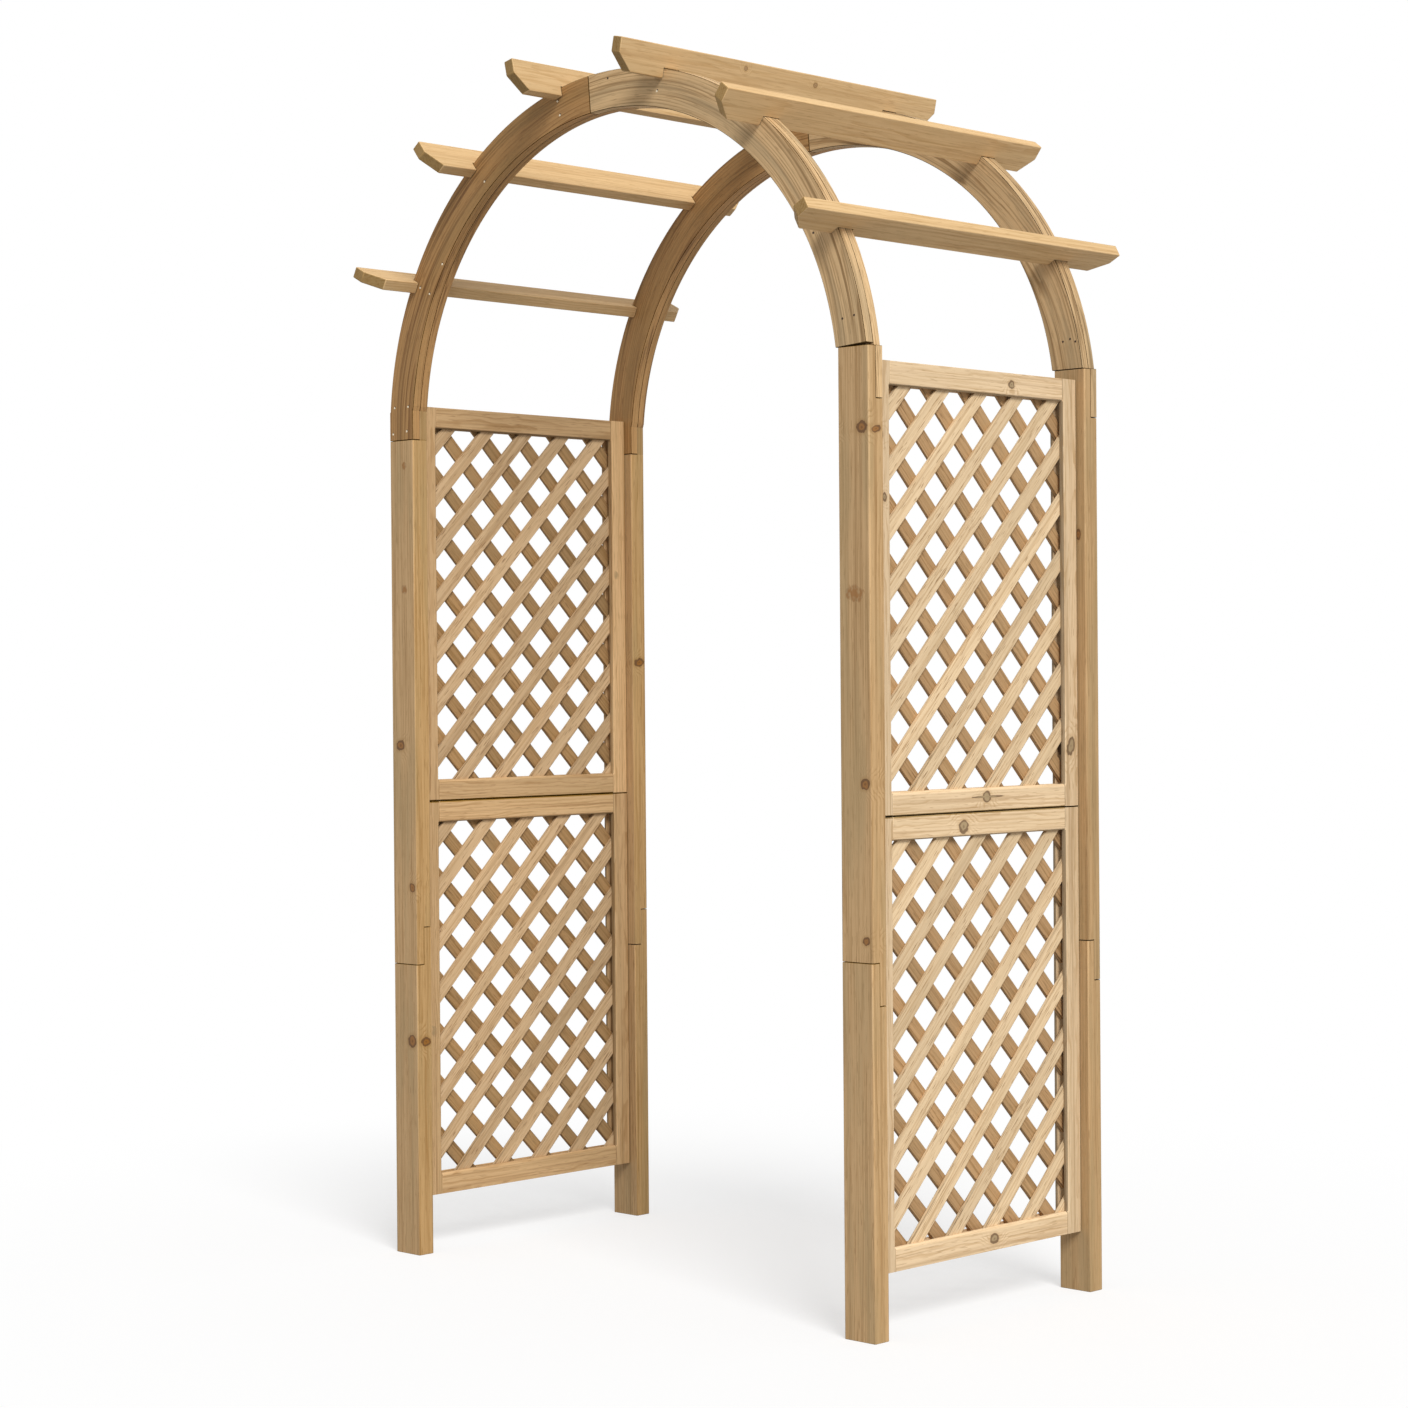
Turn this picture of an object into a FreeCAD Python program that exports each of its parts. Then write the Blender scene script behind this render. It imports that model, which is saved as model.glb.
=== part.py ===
"""Round-top wooden garden arch.

Two arched frames, one behind the other, carry six notched rails over the top and
two framed lattice panels on each side. The round part of a frame is laminated from
two plies of curved board, whose crown seams lie on either side of the middle. The
feet of the plies end at different heights, and half-lap onto the stepped tops of
the posts: the longer ply of each end runs down in a straight tongue, flush with the
post. Each post is half-lapped from a lower and an upper length of timber.

Millimetres. X runs across the walkway, Y from front to rear, Z up. The origin is
on the ground, under the middle of the arch.
"""
import FreeCAD, Part
import os
import Sketcher

SIZES = (
    ("arch_width", "1370", "across the outer edges of the posts"),
    ("arch_depth", "690", "front of the front frame to the rear of the rear frame"),
    ("springing", "1758", "height of the centre of the round arch"),
    ("board_width", "76", "width of the posts and of the curved boards"),
    ("ply_thickness", "20", "thickness of one ply, half that of a post"),
    ("post_round", "3", "rounding of the long edges of the posts"),
    ("edge_ease", "1.2", "bevel on the other planed edges"),
    ("butt_gap", "1", "open joint where two timbers meet end to end"),
    ("post_seam", "622", "height of the low step of the lap in a post"),
    ("post_lap", "80", "height of the lap in a post"),
    ("arch_foot", "1745", "height of the low step of the lap under the arch"),
    ("left_foot_lap", "62", "height of the lap under the left end of the arch"),
    ("right_foot_lap", "97", "height of the lap under the right end of the arch"),
    ("crown_lap", "114", "distance between the two crown seams along the outer edge"),
    ("rail_length", "940", "rails over the arch, end to end"),
    ("rail_height", "64", "depth of a rail, away from the centre of the arch"),
    ("rail_thickness", "24", "thickness of a rail"),
    ("rail_notch", "20", "depth of the notches that straddle the frames"),
    ("rail_angle", "25", "angle between neighbouring rails, in degrees"),
    ("rail_end_square", "30", "square part of a rail's end"),
    ("rail_end_bevel", "36", "length of the sloping cut under a rail's end"),
    ("rail_fit", "0.3", "room between a notch and the frame in it"),
    ("panel_bottom", "120", "height of the lower panels above the ground"),
    ("panel_height", "849", "height of one lattice panel"),
    ("panel_gap", "1.5", "gap between the lower and the upper panel"),
    ("panel_thickness", "34", "thickness of the panel frame"),
    ("panel_fit", "0.3", "room between a panel and each post"),
    ("stile_width", "44", "upright members of a panel frame"),
    ("crosspiece_width", "45", "level members of a panel frame"),
    ("panel_round", "6", "rounding of the panel frame's inner edges"),
    ("groove_depth", "10", "depth of the groove that holds the slats"),
    ("groove_fit", "0.2", "room of the slats and tongues in the groove"),
    ("slat_width", "29.5", "width of a slat"),
    ("slat_thickness", "8", "thickness of a slat"),
    ("slat_ease", "1.5", "bevel on the long edges of a slat"),
    ("slat_pitch", "79.5", "centre to centre of neighbouring slats"),
    ("left_lower_rising_shift", "27", "left lower panel: rising slats off the middle"),
    ("left_lower_falling_shift", "8", "left lower panel: falling slats off the middle"),
    ("left_upper_rising_shift", "25", "left upper panel: rising slats off the middle"),
    ("left_upper_falling_shift", "22", "left upper panel: falling slats off the middle"),
    ("right_lower_rising_shift", "25", "right lower panel: rising slats off the middle"),
    ("right_lower_falling_shift", "-32", "right lower panel: falling slats off the middle"),
    ("right_upper_rising_shift", "18", "right upper panel: rising slats off the middle"),
    ("right_upper_falling_shift", "19", "right upper panel: falling slats off the middle"),
)

PLIES = ("fore", "aft")
SIDES = ("left", "right")
RAIL_NAMES = ("left_low", "left_mid", "left_top", "right_top", "right_mid", "right_low")

# Lengths that several pieces share, as expressions of the sizes
OUTER_RADIUS = "Sizes.arch_width / 2"
INNER_RADIUS = "(Sizes.arch_width / 2 - Sizes.board_width)"
POST_CENTRE = "(Sizes.arch_width - Sizes.board_width) / 2"
FRAME_THICKNESS = "2 * Sizes.ply_thickness"
HALF_BUTT = "Sizes.butt_gap / 2"
CROWN_ANGLE = "(Sizes.crown_lap / Sizes.arch_width * 180 / pi)"
HALF_BUTT_ANGLE = "(Sizes.butt_gap / Sizes.arch_width * 180 / pi)"
PANEL_WIDTH = f"(Sizes.arch_depth - 2 * {FRAME_THICKNESS} - 2 * Sizes.panel_fit)"
WINDOW_WIDTH = f"({PANEL_WIDTH} - 2 * Sizes.stile_width)"
WINDOW_HEIGHT = "(Sizes.panel_height - 2 * Sizes.crosspiece_width)"
GROOVE_WIDTH = "(2 * Sizes.slat_thickness + Sizes.groove_fit)"
TONGUE_REACH = "(Sizes.groove_depth - Sizes.groove_fit)"

doc = FreeCAD.newDocument("GardenArch")
sheet = doc.addObject("Spreadsheet::Sheet", "Sizes")
for row, (alias, value, meaning) in enumerate(SIZES, start=1):
    sheet.set(f"A{row}", meaning)
    sheet.set(f"B{row}", value)
    sheet.setAlias(f"B{row}", alias)
doc.recompute()

sub_parts = []


def amount(expression):
    """The present value of an expression of the sizes."""
    return float(sheet.evalExpression(expression.replace("Sizes.", "")))


def new_body(label, separate_solids=False):
    """A body that becomes one sub-part."""
    body = doc.addObject("PartDesign::Body", label)
    body.Label = label
    body.AllowCompound = separate_solids
    sub_parts.append(body)
    return body


def place(body, x="0", y="0", z="0", axis=(0, 0, 1), turn="0"):
    """Puts a body at a point and turns it about an axis, both from the sizes."""
    body.Placement = FreeCAD.Placement(
        FreeCAD.Vector(amount(x), amount(y), amount(z)),
        FreeCAD.Rotation(FreeCAD.Vector(*axis), amount(turn)),
    )
    body.setExpression("Placement.Base.x", x)
    body.setExpression("Placement.Base.y", y)
    body.setExpression("Placement.Base.z", z)
    if turn != "0":
        body.setExpression("Placement.Rotation.Angle", turn)


def new_sketch(body, plane_role, name):
    """A sketch on one of the body's own origin planes."""
    sketch = body.newObject("Sketcher::SketchObject", name)
    planes = [f for f in body.Origin.OriginFeatures if f.Role == plane_role]
    sketch.AttachmentSupport = [(planes[0], "")]
    sketch.MapMode = "FlatFace"
    return sketch


def pin_point(sketch, geometry, point, across, up):
    """Ties a point of the sketch to its two coordinates."""
    for kind, expression in (("DistanceX", across), ("DistanceY", up)):
        value = amount(expression)
        index = sketch.addConstraint(Sketcher.Constraint(kind, -1, 1, geometry, point, value))
        sketch.setExpression(f"Constraints[{index}]", expression)


def draw_outline(sketch, corners):
    """A closed outline of straight lines through corners given as expressions."""
    points = [FreeCAD.Vector(amount(across), amount(up), 0) for across, up in corners]
    first = sketch.GeometryCount
    for start, end in zip(points, points[1:] + points[:1]):
        sketch.addGeometry(Part.LineSegment(start, end))
    count = len(points)
    for k in range(count):
        sketch.addConstraint(
            Sketcher.Constraint("Coincident", first + k, 2, first + (k + 1) % count, 1)
        )
    for k, (across, up) in enumerate(corners):
        pin_point(sketch, first + k, 1, across, up)


def pad(body, sketch, length, name, side="Symmetric", reverse=False):
    """Pads a sketch by an expression of the sizes."""
    feature = body.newObject("PartDesign::Pad", name)
    feature.Profile = sketch
    feature.SideType = side
    feature.Reversed = reverse
    feature.setExpression("Length", length)
    sketch.Visibility = False
    doc.recompute()
    return feature


def edge_names(feature, wanted):
    """Names of the feature's edges for which wanted(edge) is true."""
    return [f"Edge{k}" for k, edge in enumerate(feature.Shape.Edges, start=1) if wanted(edge)]


def ease_broad_faces(body, feature, normal, thickness):
    """Bevels the rims of the two broad faces of a board."""

    def on_broad_face(edge):
        heights = [vertex.Point.dot(normal) for vertex in edge.Vertexes]
        at_face = [abs(abs(height) - thickness / 2) < 1e-6 for height in heights]
        return all(at_face) and abs(heights[0] - heights[-1]) < 1e-6

    bevel = body.newObject("PartDesign::Chamfer", "EasedEdges")
    bevel.Base = (feature, edge_names(feature, on_broad_face))
    bevel.setExpression("Size", "Sizes.edge_ease")
    doc.recompute()


def frame_middle(frame_sign):
    """Y of the middle of a frame."""
    return f"{frame_sign} (Sizes.arch_depth / 2 - Sizes.ply_thickness)"


def steps(side, seam, lap):
    """Heights of a lap's two steps, in the fore and in the aft half of a post.

    On the left the fore half has the low step, and on the right the aft half.
    """
    high = f"({seam} + {lap})"
    return (seam, high) if side == "left" else (high, seam)


def make_post(label, side, frame_sign, outline):
    """One length of a post, drawn from the side with the steps of its laps."""
    body = new_body(label)
    sketch = new_sketch(body, "YZ_Plane", "Outline")
    draw_outline(sketch, outline)
    timber = pad(body, sketch, "Sizes.board_width", "Timber")
    half_width = amount("Sizes.board_width") / 2
    half_thickness = amount("Sizes.ply_thickness")

    def long_corner(edge):
        points = [vertex.Point for vertex in edge.Vertexes]
        at_corner = [
            abs(abs(point.x) - half_width) < 1e-6 and abs(abs(point.y) - half_thickness) < 1e-6
            for point in points
        ]
        return all(at_corner) and abs(points[0].z - points[-1].z) > 1e-6

    rounding = body.newObject("PartDesign::Fillet", "RoundedEdges")
    rounding.Base = (timber, edge_names(timber, long_corner))
    rounding.setExpression("Radius", "Sizes.post_round")
    doc.recompute()
    sign = "-" if side == "left" else ""
    place(body, x=f"{sign}{POST_CENTRE}", y=frame_middle(frame_sign))


def make_lower_post(label, side, frame_sign):
    """The lower length of a post, from the ground to the steps of its lap."""
    fore, aft = steps(side, "Sizes.post_seam", "Sizes.post_lap")
    half = "Sizes.ply_thickness"
    outline = (
        (f"-{half}", "0"),
        (half, "0"),
        (half, f"{aft} - {HALF_BUTT}"),
        ("0", f"{aft} - {HALF_BUTT}"),
        ("0", f"{fore} - {HALF_BUTT}"),
        (f"-{half}", f"{fore} - {HALF_BUTT}"),
    )
    make_post(label, side, frame_sign, outline)


def make_upper_post(label, side, frame_sign):
    """The upper length of a post, stepped at both ends."""
    fore_bottom, aft_bottom = steps(side, "Sizes.post_seam", "Sizes.post_lap")
    fore_top, aft_top = steps(side, "Sizes.arch_foot", f"Sizes.{side}_foot_lap")
    half = "Sizes.ply_thickness"
    outline = (
        (f"-{half}", f"{fore_bottom} + {HALF_BUTT}"),
        ("0", f"{fore_bottom} + {HALF_BUTT}"),
        ("0", f"{aft_bottom} + {HALF_BUTT}"),
        (half, f"{aft_bottom} + {HALF_BUTT}"),
        (half, f"{aft_top} - {HALF_BUTT}"),
        ("0", f"{aft_top} - {HALF_BUTT}"),
        ("0", f"{fore_top} - {HALF_BUTT}"),
        (f"-{half}", f"{fore_top} - {HALF_BUTT}"),
    )
    make_post(label, side, frame_sign, outline)


def join_arcs(sketch, outer, inner, end, corners=()):
    """Joins the same ends of two arcs by straight lines, by way of corners given as expressions."""
    points = [sketch.getPoint(outer, end)]
    points += [FreeCAD.Vector(amount(across), amount(up), 0) for across, up in corners]
    points.append(sketch.getPoint(inner, end))
    lines = []
    for start, stop in zip(points, points[1:]):
        lines.append(sketch.addGeometry(Part.LineSegment(start, stop)))
    for line, after in zip(lines, lines[1:]):
        sketch.addConstraint(Sketcher.Constraint("Coincident", line, 2, after, 1))
    for line, (across, up) in zip(lines, corners):
        pin_point(sketch, line, 2, across, up)
    sketch.addConstraint(Sketcher.Constraint("Coincident", lines[0], 1, outer, end))
    sketch.addConstraint(Sketcher.Constraint("Coincident", lines[-1], 2, inner, end))


def make_curve(label, side, ply, frame_sign):
    """A quarter of one ply of the round arch, from its foot to the crown seam.

    It is drawn for the right side about the centre of the arch, and turned half
    round for the left. A ply with a low foot ends in a straight tongue below the
    high step of the lap, and short of the crown. One with a high foot ends beyond
    the crown.
    """
    body = new_body(label)
    sketch = new_sketch(body, "XZ_Plane", "Outline")
    fore_step, aft_step = steps(side, "Sizes.arch_foot", f"Sizes.{side}_foot_lap")
    step = fore_step if ply == "fore" else aft_step
    low = step == "Sizes.arch_foot"
    foot = f"({step} + {HALF_BUTT} - Sizes.springing)"
    arc_end = f"(Sizes.arch_foot + Sizes.{side}_foot_lap + {HALF_BUTT} - Sizes.springing)"
    crown = CROWN_ANGLE if low else f"-{CROWN_ANGLE}"
    crown_end = f"({crown} + {HALF_BUTT_ANGLE})"
    arcs = []
    for radius in (OUTER_RADIUS, INNER_RADIUS):
        start = FreeCAD.Vector(amount(f"sqrt(({radius})^2 - {arc_end}^2)"), amount(arc_end), 0)
        end = FreeCAD.Vector(
            amount(f"{radius} * sin({crown_end})"), amount(f"{radius} * cos({crown_end})"), 0
        )
        middle = (start + end) * 0.5
        middle = middle.normalize() * amount(radius)
        arcs.append(sketch.addGeometry(Part.Arc(start, middle, end)))
        centre = Sketcher.Constraint("Coincident", arcs[-1], 3, -1, 1)
        sketch.addConstraint(centre)
        constraint = sketch.addConstraint(
            Sketcher.Constraint("Radius", arcs[-1], amount(radius))
        )
        sketch.setExpression(f"Constraints[{constraint}]", radius)
        end_height = sketch.addConstraint(
            Sketcher.Constraint("DistanceY", -1, 1, arcs[-1], 1, amount(arc_end))
        )
        sketch.setExpression(f"Constraints[{end_height}]", arc_end)
        reach = f"{radius} * sin({crown_end})"
        crown_reach = sketch.addConstraint(
            Sketcher.Constraint("DistanceX", -1, 1, arcs[-1], 2, amount(reach))
        )
        sketch.setExpression(f"Constraints[{crown_reach}]", reach)
    outer, inner = arcs
    tongue = (
        (OUTER_RADIUS, arc_end),
        (OUTER_RADIUS, foot),
        (INNER_RADIUS, foot),
        (INNER_RADIUS, arc_end),
    )
    join_arcs(sketch, outer, inner, 1, tongue if low else ())
    join_arcs(sketch, outer, inner, 2)
    board = pad(body, sketch, "Sizes.ply_thickness", "Board")
    ease_broad_faces(body, board, FreeCAD.Vector(0, 1, 0), amount("Sizes.ply_thickness"))
    ply_sign = "-" if ply == "fore" else "+"
    place(
        body,
        y=f"{frame_middle(frame_sign)} {ply_sign} Sizes.ply_thickness / 2",
        z="Sizes.springing",
        turn="180" if side == "left" else "0",
    )


def make_frame(name, frame_sign):
    """One arched frame: two posts of two lengths each, and two plies of two curves each."""
    for side in SIDES:
        make_lower_post(f"{name}_{side}_lower_post", side, frame_sign)
        make_upper_post(f"{name}_{side}_upper_post", side, frame_sign)
        for ply in PLIES:
            make_curve(f"{name}_{side}_{ply}_curve", side, ply, frame_sign)


def make_rail(label, steps_from_crown):
    """A rail over the arch, notched over both frames, with sloping cuts under its ends."""
    body = new_body(label)
    sketch = new_sketch(body, "YZ_Plane", "Outline")
    end = "Sizes.rail_length / 2"
    seat = f"({OUTER_RADIUS} + Sizes.rail_fit)"
    under = f"({seat} - Sizes.rail_notch)"
    top = f"({under} + Sizes.rail_height)"
    notch_out = "(Sizes.arch_depth / 2 + Sizes.rail_fit)"
    notch_in = f"(Sizes.arch_depth / 2 - {FRAME_THICKNESS} - Sizes.rail_fit)"
    right_half = [
        (notch_in, under),
        (notch_in, seat),
        (notch_out, seat),
        (notch_out, under),
        (f"{end} - Sizes.rail_end_bevel", under),
        (end, f"{top} - Sizes.rail_end_square"),
        (end, top),
    ]
    left_half = [(f"-({along})", out) for along, out in reversed(right_half)]
    draw_outline(sketch, right_half + left_half)
    bar = pad(body, sketch, "Sizes.rail_thickness", "Bar")
    ease_broad_faces(body, bar, FreeCAD.Vector(1, 0, 0), amount("Sizes.rail_thickness"))
    lean = "-1" if steps_from_crown < 0 else "1"
    place(
        body,
        z="Sizes.springing",
        axis=(0, float(lean), 0),
        turn=f"Sizes.rail_angle * {abs(steps_from_crown)}",
    )


def grooved_section(width):
    """Outline of a panel frame member: its outer edge at zero, its groove at the inner edge."""
    half = "Sizes.panel_thickness / 2"
    lip = f"{GROOVE_WIDTH} / 2"
    floor = f"{width} - Sizes.groove_depth"
    ease = "Sizes.edge_ease"
    return [
        (f"-{half} + {ease}", "0"),
        (f"{half} - {ease}", "0"),
        (half, ease),
        (half, width),
        (lip, width),
        (lip, floor),
        (f"-{lip}", floor),
        (f"-{lip}", width),
        (f"-{half}", width),
        (f"-{half}", ease),
    ]


def round_inner_edges(body, feature, inward, width):
    """Rounds the two long edges of a panel member beside its groove."""
    half = amount("Sizes.panel_thickness") / 2

    def beside_groove(edge):
        points = [vertex.Point for vertex in edge.Vertexes]
        at_edge = [abs(point.dot(inward) - width) < 1e-6 for point in points]
        at_side = [abs(abs(point.x) - half) < 1e-6 for point in points]
        return all(at_edge) and all(at_side)

    rounding = body.newObject("PartDesign::Fillet", "RoundedEdges")
    rounding.Base = (feature, edge_names(feature, beside_groove))
    rounding.setExpression("Radius", "Sizes.panel_round")
    doc.recompute()


def make_stile(label, x, z, at_rear):
    """An upright member of a panel frame, grooved along its inner edge."""
    body = new_body(label)
    sketch = new_sketch(body, "XY_Plane", "Section")
    draw_outline(sketch, grooved_section("Sizes.stile_width"))
    stile = pad(body, sketch, "Sizes.panel_height", "Stile", side="One side")
    round_inner_edges(body, stile, FreeCAD.Vector(0, 1, 0), amount("Sizes.stile_width"))
    place(
        body,
        x=x,
        y=f"{'' if at_rear else '-'}{PANEL_WIDTH} / 2",
        z=z,
        turn="180" if at_rear else "0",
    )


def make_crosspiece(label, x, z, at_top):
    """A level member of a panel frame, with a tongue at each end for the stiles' grooves."""
    body = new_body(label)
    sketch = new_sketch(body, "XZ_Plane", "Section")
    draw_outline(sketch, grooved_section("Sizes.crosspiece_width"))
    crosspiece = pad(body, sketch, WINDOW_WIDTH, "Crosspiece")
    round_inner_edges(
        body, crosspiece, FreeCAD.Vector(0, 0, 1), amount("Sizes.crosspiece_width")
    )
    tongue = new_sketch(body, "XZ_Plane", "TongueSection")
    half = "Sizes.slat_thickness"
    floor = "Sizes.crosspiece_width - Sizes.groove_depth"
    draw_outline(tongue, ((f"-{half}", "0"), (half, "0"), (half, floor), (f"-{half}", floor)))
    pad(body, tongue, f"{WINDOW_WIDTH} + 2 * {TONGUE_REACH}", "Tongues")
    place(body, x=x, z=z, axis=(0, 1, 0), turn="180" if at_top else "0")


def make_slats(label, x, z, shift, rising):
    """One layer of parallel slats, trimmed to the floor of the grooves.

    The body is turned by half a right angle, so that its slats lie along its own Y
    axis and follow each other along its Z axis.
    """
    reach = f"(({WINDOW_WIDTH} + {WINDOW_HEIGHT}) / 2 / sqrt(2))"
    below = f"floor(({reach} + {shift}) / Sizes.slat_pitch)"
    above = f"floor(({reach} - {shift}) / Sizes.slat_pitch)"
    body = new_body(label, separate_solids=True)
    sketch = new_sketch(body, "XZ_Plane", "FirstSlat")
    length = f"({WINDOW_WIDTH} + {WINDOW_HEIGHT})"
    middle = f"{shift} - {below} * Sizes.slat_pitch"
    face = "Sizes.slat_thickness" if rising else "-Sizes.slat_thickness"
    bevel = "Sizes.slat_ease" if rising else "-Sizes.slat_ease"
    half = "Sizes.slat_width / 2"
    short = "(Sizes.slat_width / 2 - Sizes.slat_ease)"
    draw_outline(
        sketch,
        (
            ("0", f"{middle} - {short}"),
            (bevel, f"{middle} - {half}"),
            (f"{face} - {bevel}", f"{middle} - {half}"),
            (face, f"{middle} - {short}"),
            (face, f"{middle} + {short}"),
            (f"{face} - {bevel}", f"{middle} + {half}"),
            (bevel, f"{middle} + {half}"),
            ("0", f"{middle} + {short}"),
        ),
    )
    slat = pad(body, sketch, f"2 * {length}", "Slat")
    row = body.newObject("PartDesign::LinearPattern", "Row")
    row.Originals = [slat]
    row.Direction = (sketch, ["V_Axis"])
    row.Mode = "Spacing"
    row.setExpression("Offset", "Sizes.slat_pitch")
    row.setExpression("Occurrences", f"{below} + {above} + 1")
    body.Tip = row
    doc.recompute()
    trim = new_sketch(body, "YZ_Plane", "Trim")
    half_width = f"({WINDOW_WIDTH} / 2 + {TONGUE_REACH})"
    half_height = f"({WINDOW_HEIGHT} / 2 + {TONGUE_REACH})"
    lean = 1 if rising else -1
    window = []
    for across, up in ((-1, -1), (1, -1), (1, 1), (-1, 1)):
        along = f"({across} * {half_width} + {lean * up} * {half_height}) / sqrt(2)"
        aside = f"({up} * {half_height} + {-lean * across} * {half_width}) / sqrt(2)"
        window.append((along, aside))
    draw_outline(trim, window)
    far = f"2 * {length}"
    draw_outline(trim, ((f"-{far}", f"-{far}"), (far, f"-{far}"), (far, far), (f"-{far}", far)))
    cut = body.newObject("PartDesign::Pocket", "TrimmedEnds")
    cut.Profile = trim
    cut.SideType = "Symmetric"
    cut.setExpression("Length", "4 * Sizes.slat_thickness")
    doc.recompute()
    place(body, x=x, z=z, axis=(lean, 0, 0), turn="45")


def make_panel(side, level):
    """A lattice panel between the two posts of one side."""
    name = f"{side}_{level}_panel"
    x = f"{'-' if side == 'left' else ''}{POST_CENTRE}"
    bottom = "Sizes.panel_bottom"
    if level == "upper":
        bottom = f"({bottom} + Sizes.panel_height + Sizes.panel_gap)"
    top = f"{bottom} + Sizes.panel_height"
    middle = f"{bottom} + Sizes.panel_height / 2"
    make_stile(f"{name}_front_stile", x, bottom, at_rear=False)
    make_stile(f"{name}_rear_stile", x, bottom, at_rear=True)
    make_crosspiece(f"{name}_bottom_rail", x, bottom, at_top=False)
    make_crosspiece(f"{name}_top_rail", x, top, at_top=True)
    shift = f"Sizes.{side}_{level}"
    make_slats(f"{name}_rising_slats", x, middle, f"{shift}_rising_shift", rising=True)
    make_slats(f"{name}_falling_slats", x, middle, f"{shift}_falling_shift", rising=False)


for frame_name, frame_sign in (("front", "-"), ("rear", "+")):
    make_frame(frame_name, frame_sign)
for number, rail_name in enumerate(RAIL_NAMES):
    make_rail(f"rail_{rail_name}", number - (len(RAIL_NAMES) - 1) / 2)
for panel_side in SIDES:
    for panel_level in ("lower", "upper"):
        make_panel(panel_side, panel_level)

doc.recompute()
for item in doc.Objects:
    failed = {"Invalid", "Error"} & set(item.State)
    if failed:
        raise RuntimeError(f"{item.Name} is {failed}")
for sub_part in sub_parts:
    if sub_part.Shape.isNull() or not sub_part.Shape.isValid():
        raise RuntimeError(f"{sub_part.Label} has no valid shape")

os.makedirs("parts", exist_ok=True)
for sub_part in sub_parts:
    sub_part.Shape.exportStep(f"parts/{sub_part.Label}.step")
    solids = len(sub_part.Shape.Solids)
    print(f"{sub_part.Label}: {solids} solid(s), {sub_part.Shape.Volume:.0f} mm3")
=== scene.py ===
"""Looks of a round-top wooden garden arch.

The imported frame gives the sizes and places. Every timber is rebuilt as a mesh with eased edges and carries
wood coordinates of its own: along the grain, across the board and through it. Growth rings, fibres,
weathering and knots are drawn in those coordinates, so they run on from face to face as they do in sawn
timber. Lengths are in metres where nothing else is said.
"""
import logging
import math
import random
from abc import ABC, abstractmethod
from collections.abc import Callable, Sequence
from dataclasses import dataclass, field
from enum import Enum
from itertools import zip_longest

import bmesh
import bpy
from bmesh.types import BMEdge, BMesh, BMFace, BMVert
from bpy.types import Material, Node, NodeSocket, NodeTree, Object, Scene, World
from mathutils import Matrix, Quaternion, Vector


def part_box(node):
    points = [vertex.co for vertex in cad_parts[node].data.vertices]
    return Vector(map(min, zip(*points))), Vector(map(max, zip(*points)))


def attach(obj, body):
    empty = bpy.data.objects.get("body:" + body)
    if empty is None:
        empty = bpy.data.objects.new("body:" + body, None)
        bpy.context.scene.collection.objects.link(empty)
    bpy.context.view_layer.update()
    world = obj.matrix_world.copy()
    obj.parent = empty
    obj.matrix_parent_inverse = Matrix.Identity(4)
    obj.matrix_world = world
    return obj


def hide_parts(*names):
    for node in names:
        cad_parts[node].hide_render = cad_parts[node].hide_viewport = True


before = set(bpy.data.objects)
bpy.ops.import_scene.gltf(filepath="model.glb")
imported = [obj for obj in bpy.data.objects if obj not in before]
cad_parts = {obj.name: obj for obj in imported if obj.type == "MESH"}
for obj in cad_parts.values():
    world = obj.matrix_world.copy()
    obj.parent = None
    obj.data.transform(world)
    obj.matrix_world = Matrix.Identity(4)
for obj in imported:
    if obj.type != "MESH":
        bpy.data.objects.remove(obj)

LOG = logging.getLogger("garden_arch")
MM = 0.001
SEED = 258
BODY = "root"
IMAGE_WIDTH = 1408
# Height of the arch's centre, where the round part starts
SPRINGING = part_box("front_right_fore_curve")[1].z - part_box("rear_right_upper_post")[1].x

X_AXIS = Vector((1, 0, 0))
Y_AXIS = Vector((0, 1, 0))
Z_AXIS = Vector((0, 0, 1))

# Points that are nearer than this lie in one place, and edges that turn by more are sharp
TOUCH = 1e-6
SHARP = math.radians(32)
# Least cosine of lines that run together, of lines that nearly do, of a face that looks in a direction and
# of a face that cuts across the grain
PARALLEL = 0.999
NEARLY_PARALLEL = 0.9
FACING = 0.7
ACROSS_GRAIN = 0.6

# What chance gives a board: the bearing of its log's heart in radians, its place along the log and a tone
HEART_BEARING = (0.2, 1.0)
LOG_SPAN = (0, 40)
TONE_SPREAD = (-0.04, 0.04)

KNOTS = tuple(f"knot_{number}" for number in range(5))
PALE_KNOTS = tuple(f"pale_knot_{number}" for number in range(2))
FAR_FROM_KNOT = Vector((9, 9, 0))
END_GRAIN_WARMTH = 0.15
END_GRAIN_SHADE = -0.5
# Warmth of dark joints and of the painted shade in gaps and recesses
DARK_MARK_WARMTH = 0.3

# How far the rings stray from circles, over what width in mm, and how far they bend beside a knot
RING_STRAY = 26 * MM
STRAY_WIDTH = 60.0
KNOT_BEND = 14 * MM
# Shares of a year where the late wood starts, is full and ends
LATE_START, LATE_FULL, LATE_END = 0.35, 0.9, 0.92

# How uneven a knot's rim is in radii, how far the late wood sinks beside the fibres, and the sheen of a
# planed face with what its marks add: more on a painted highlight, less on dark joints and painted shade
RIM_UNEVENNESS = 0.7
LATE_WOOD_SINKS = -0.5
SHEEN, SHEEN_OF_WEAR_AND_LIGHT = 0.3, 0.4

# Sockets of the colour Mix node
FACTOR, COLOUR_A, COLOUR_B, RESULT = 0, 6, 7, 2
WHITE = (1, 1, 1, 1)

# What a socket can be linked to; a node stands for its first output
Source = Node | NodeSocket


class Side(Enum):
    """Side of the walkway, as seen from the front."""

    LEFT = "left"
    RIGHT = "right"


class Place(Enum):
    """Which of the two arched frames."""

    FRONT = "front"
    REAR = "rear"


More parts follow.
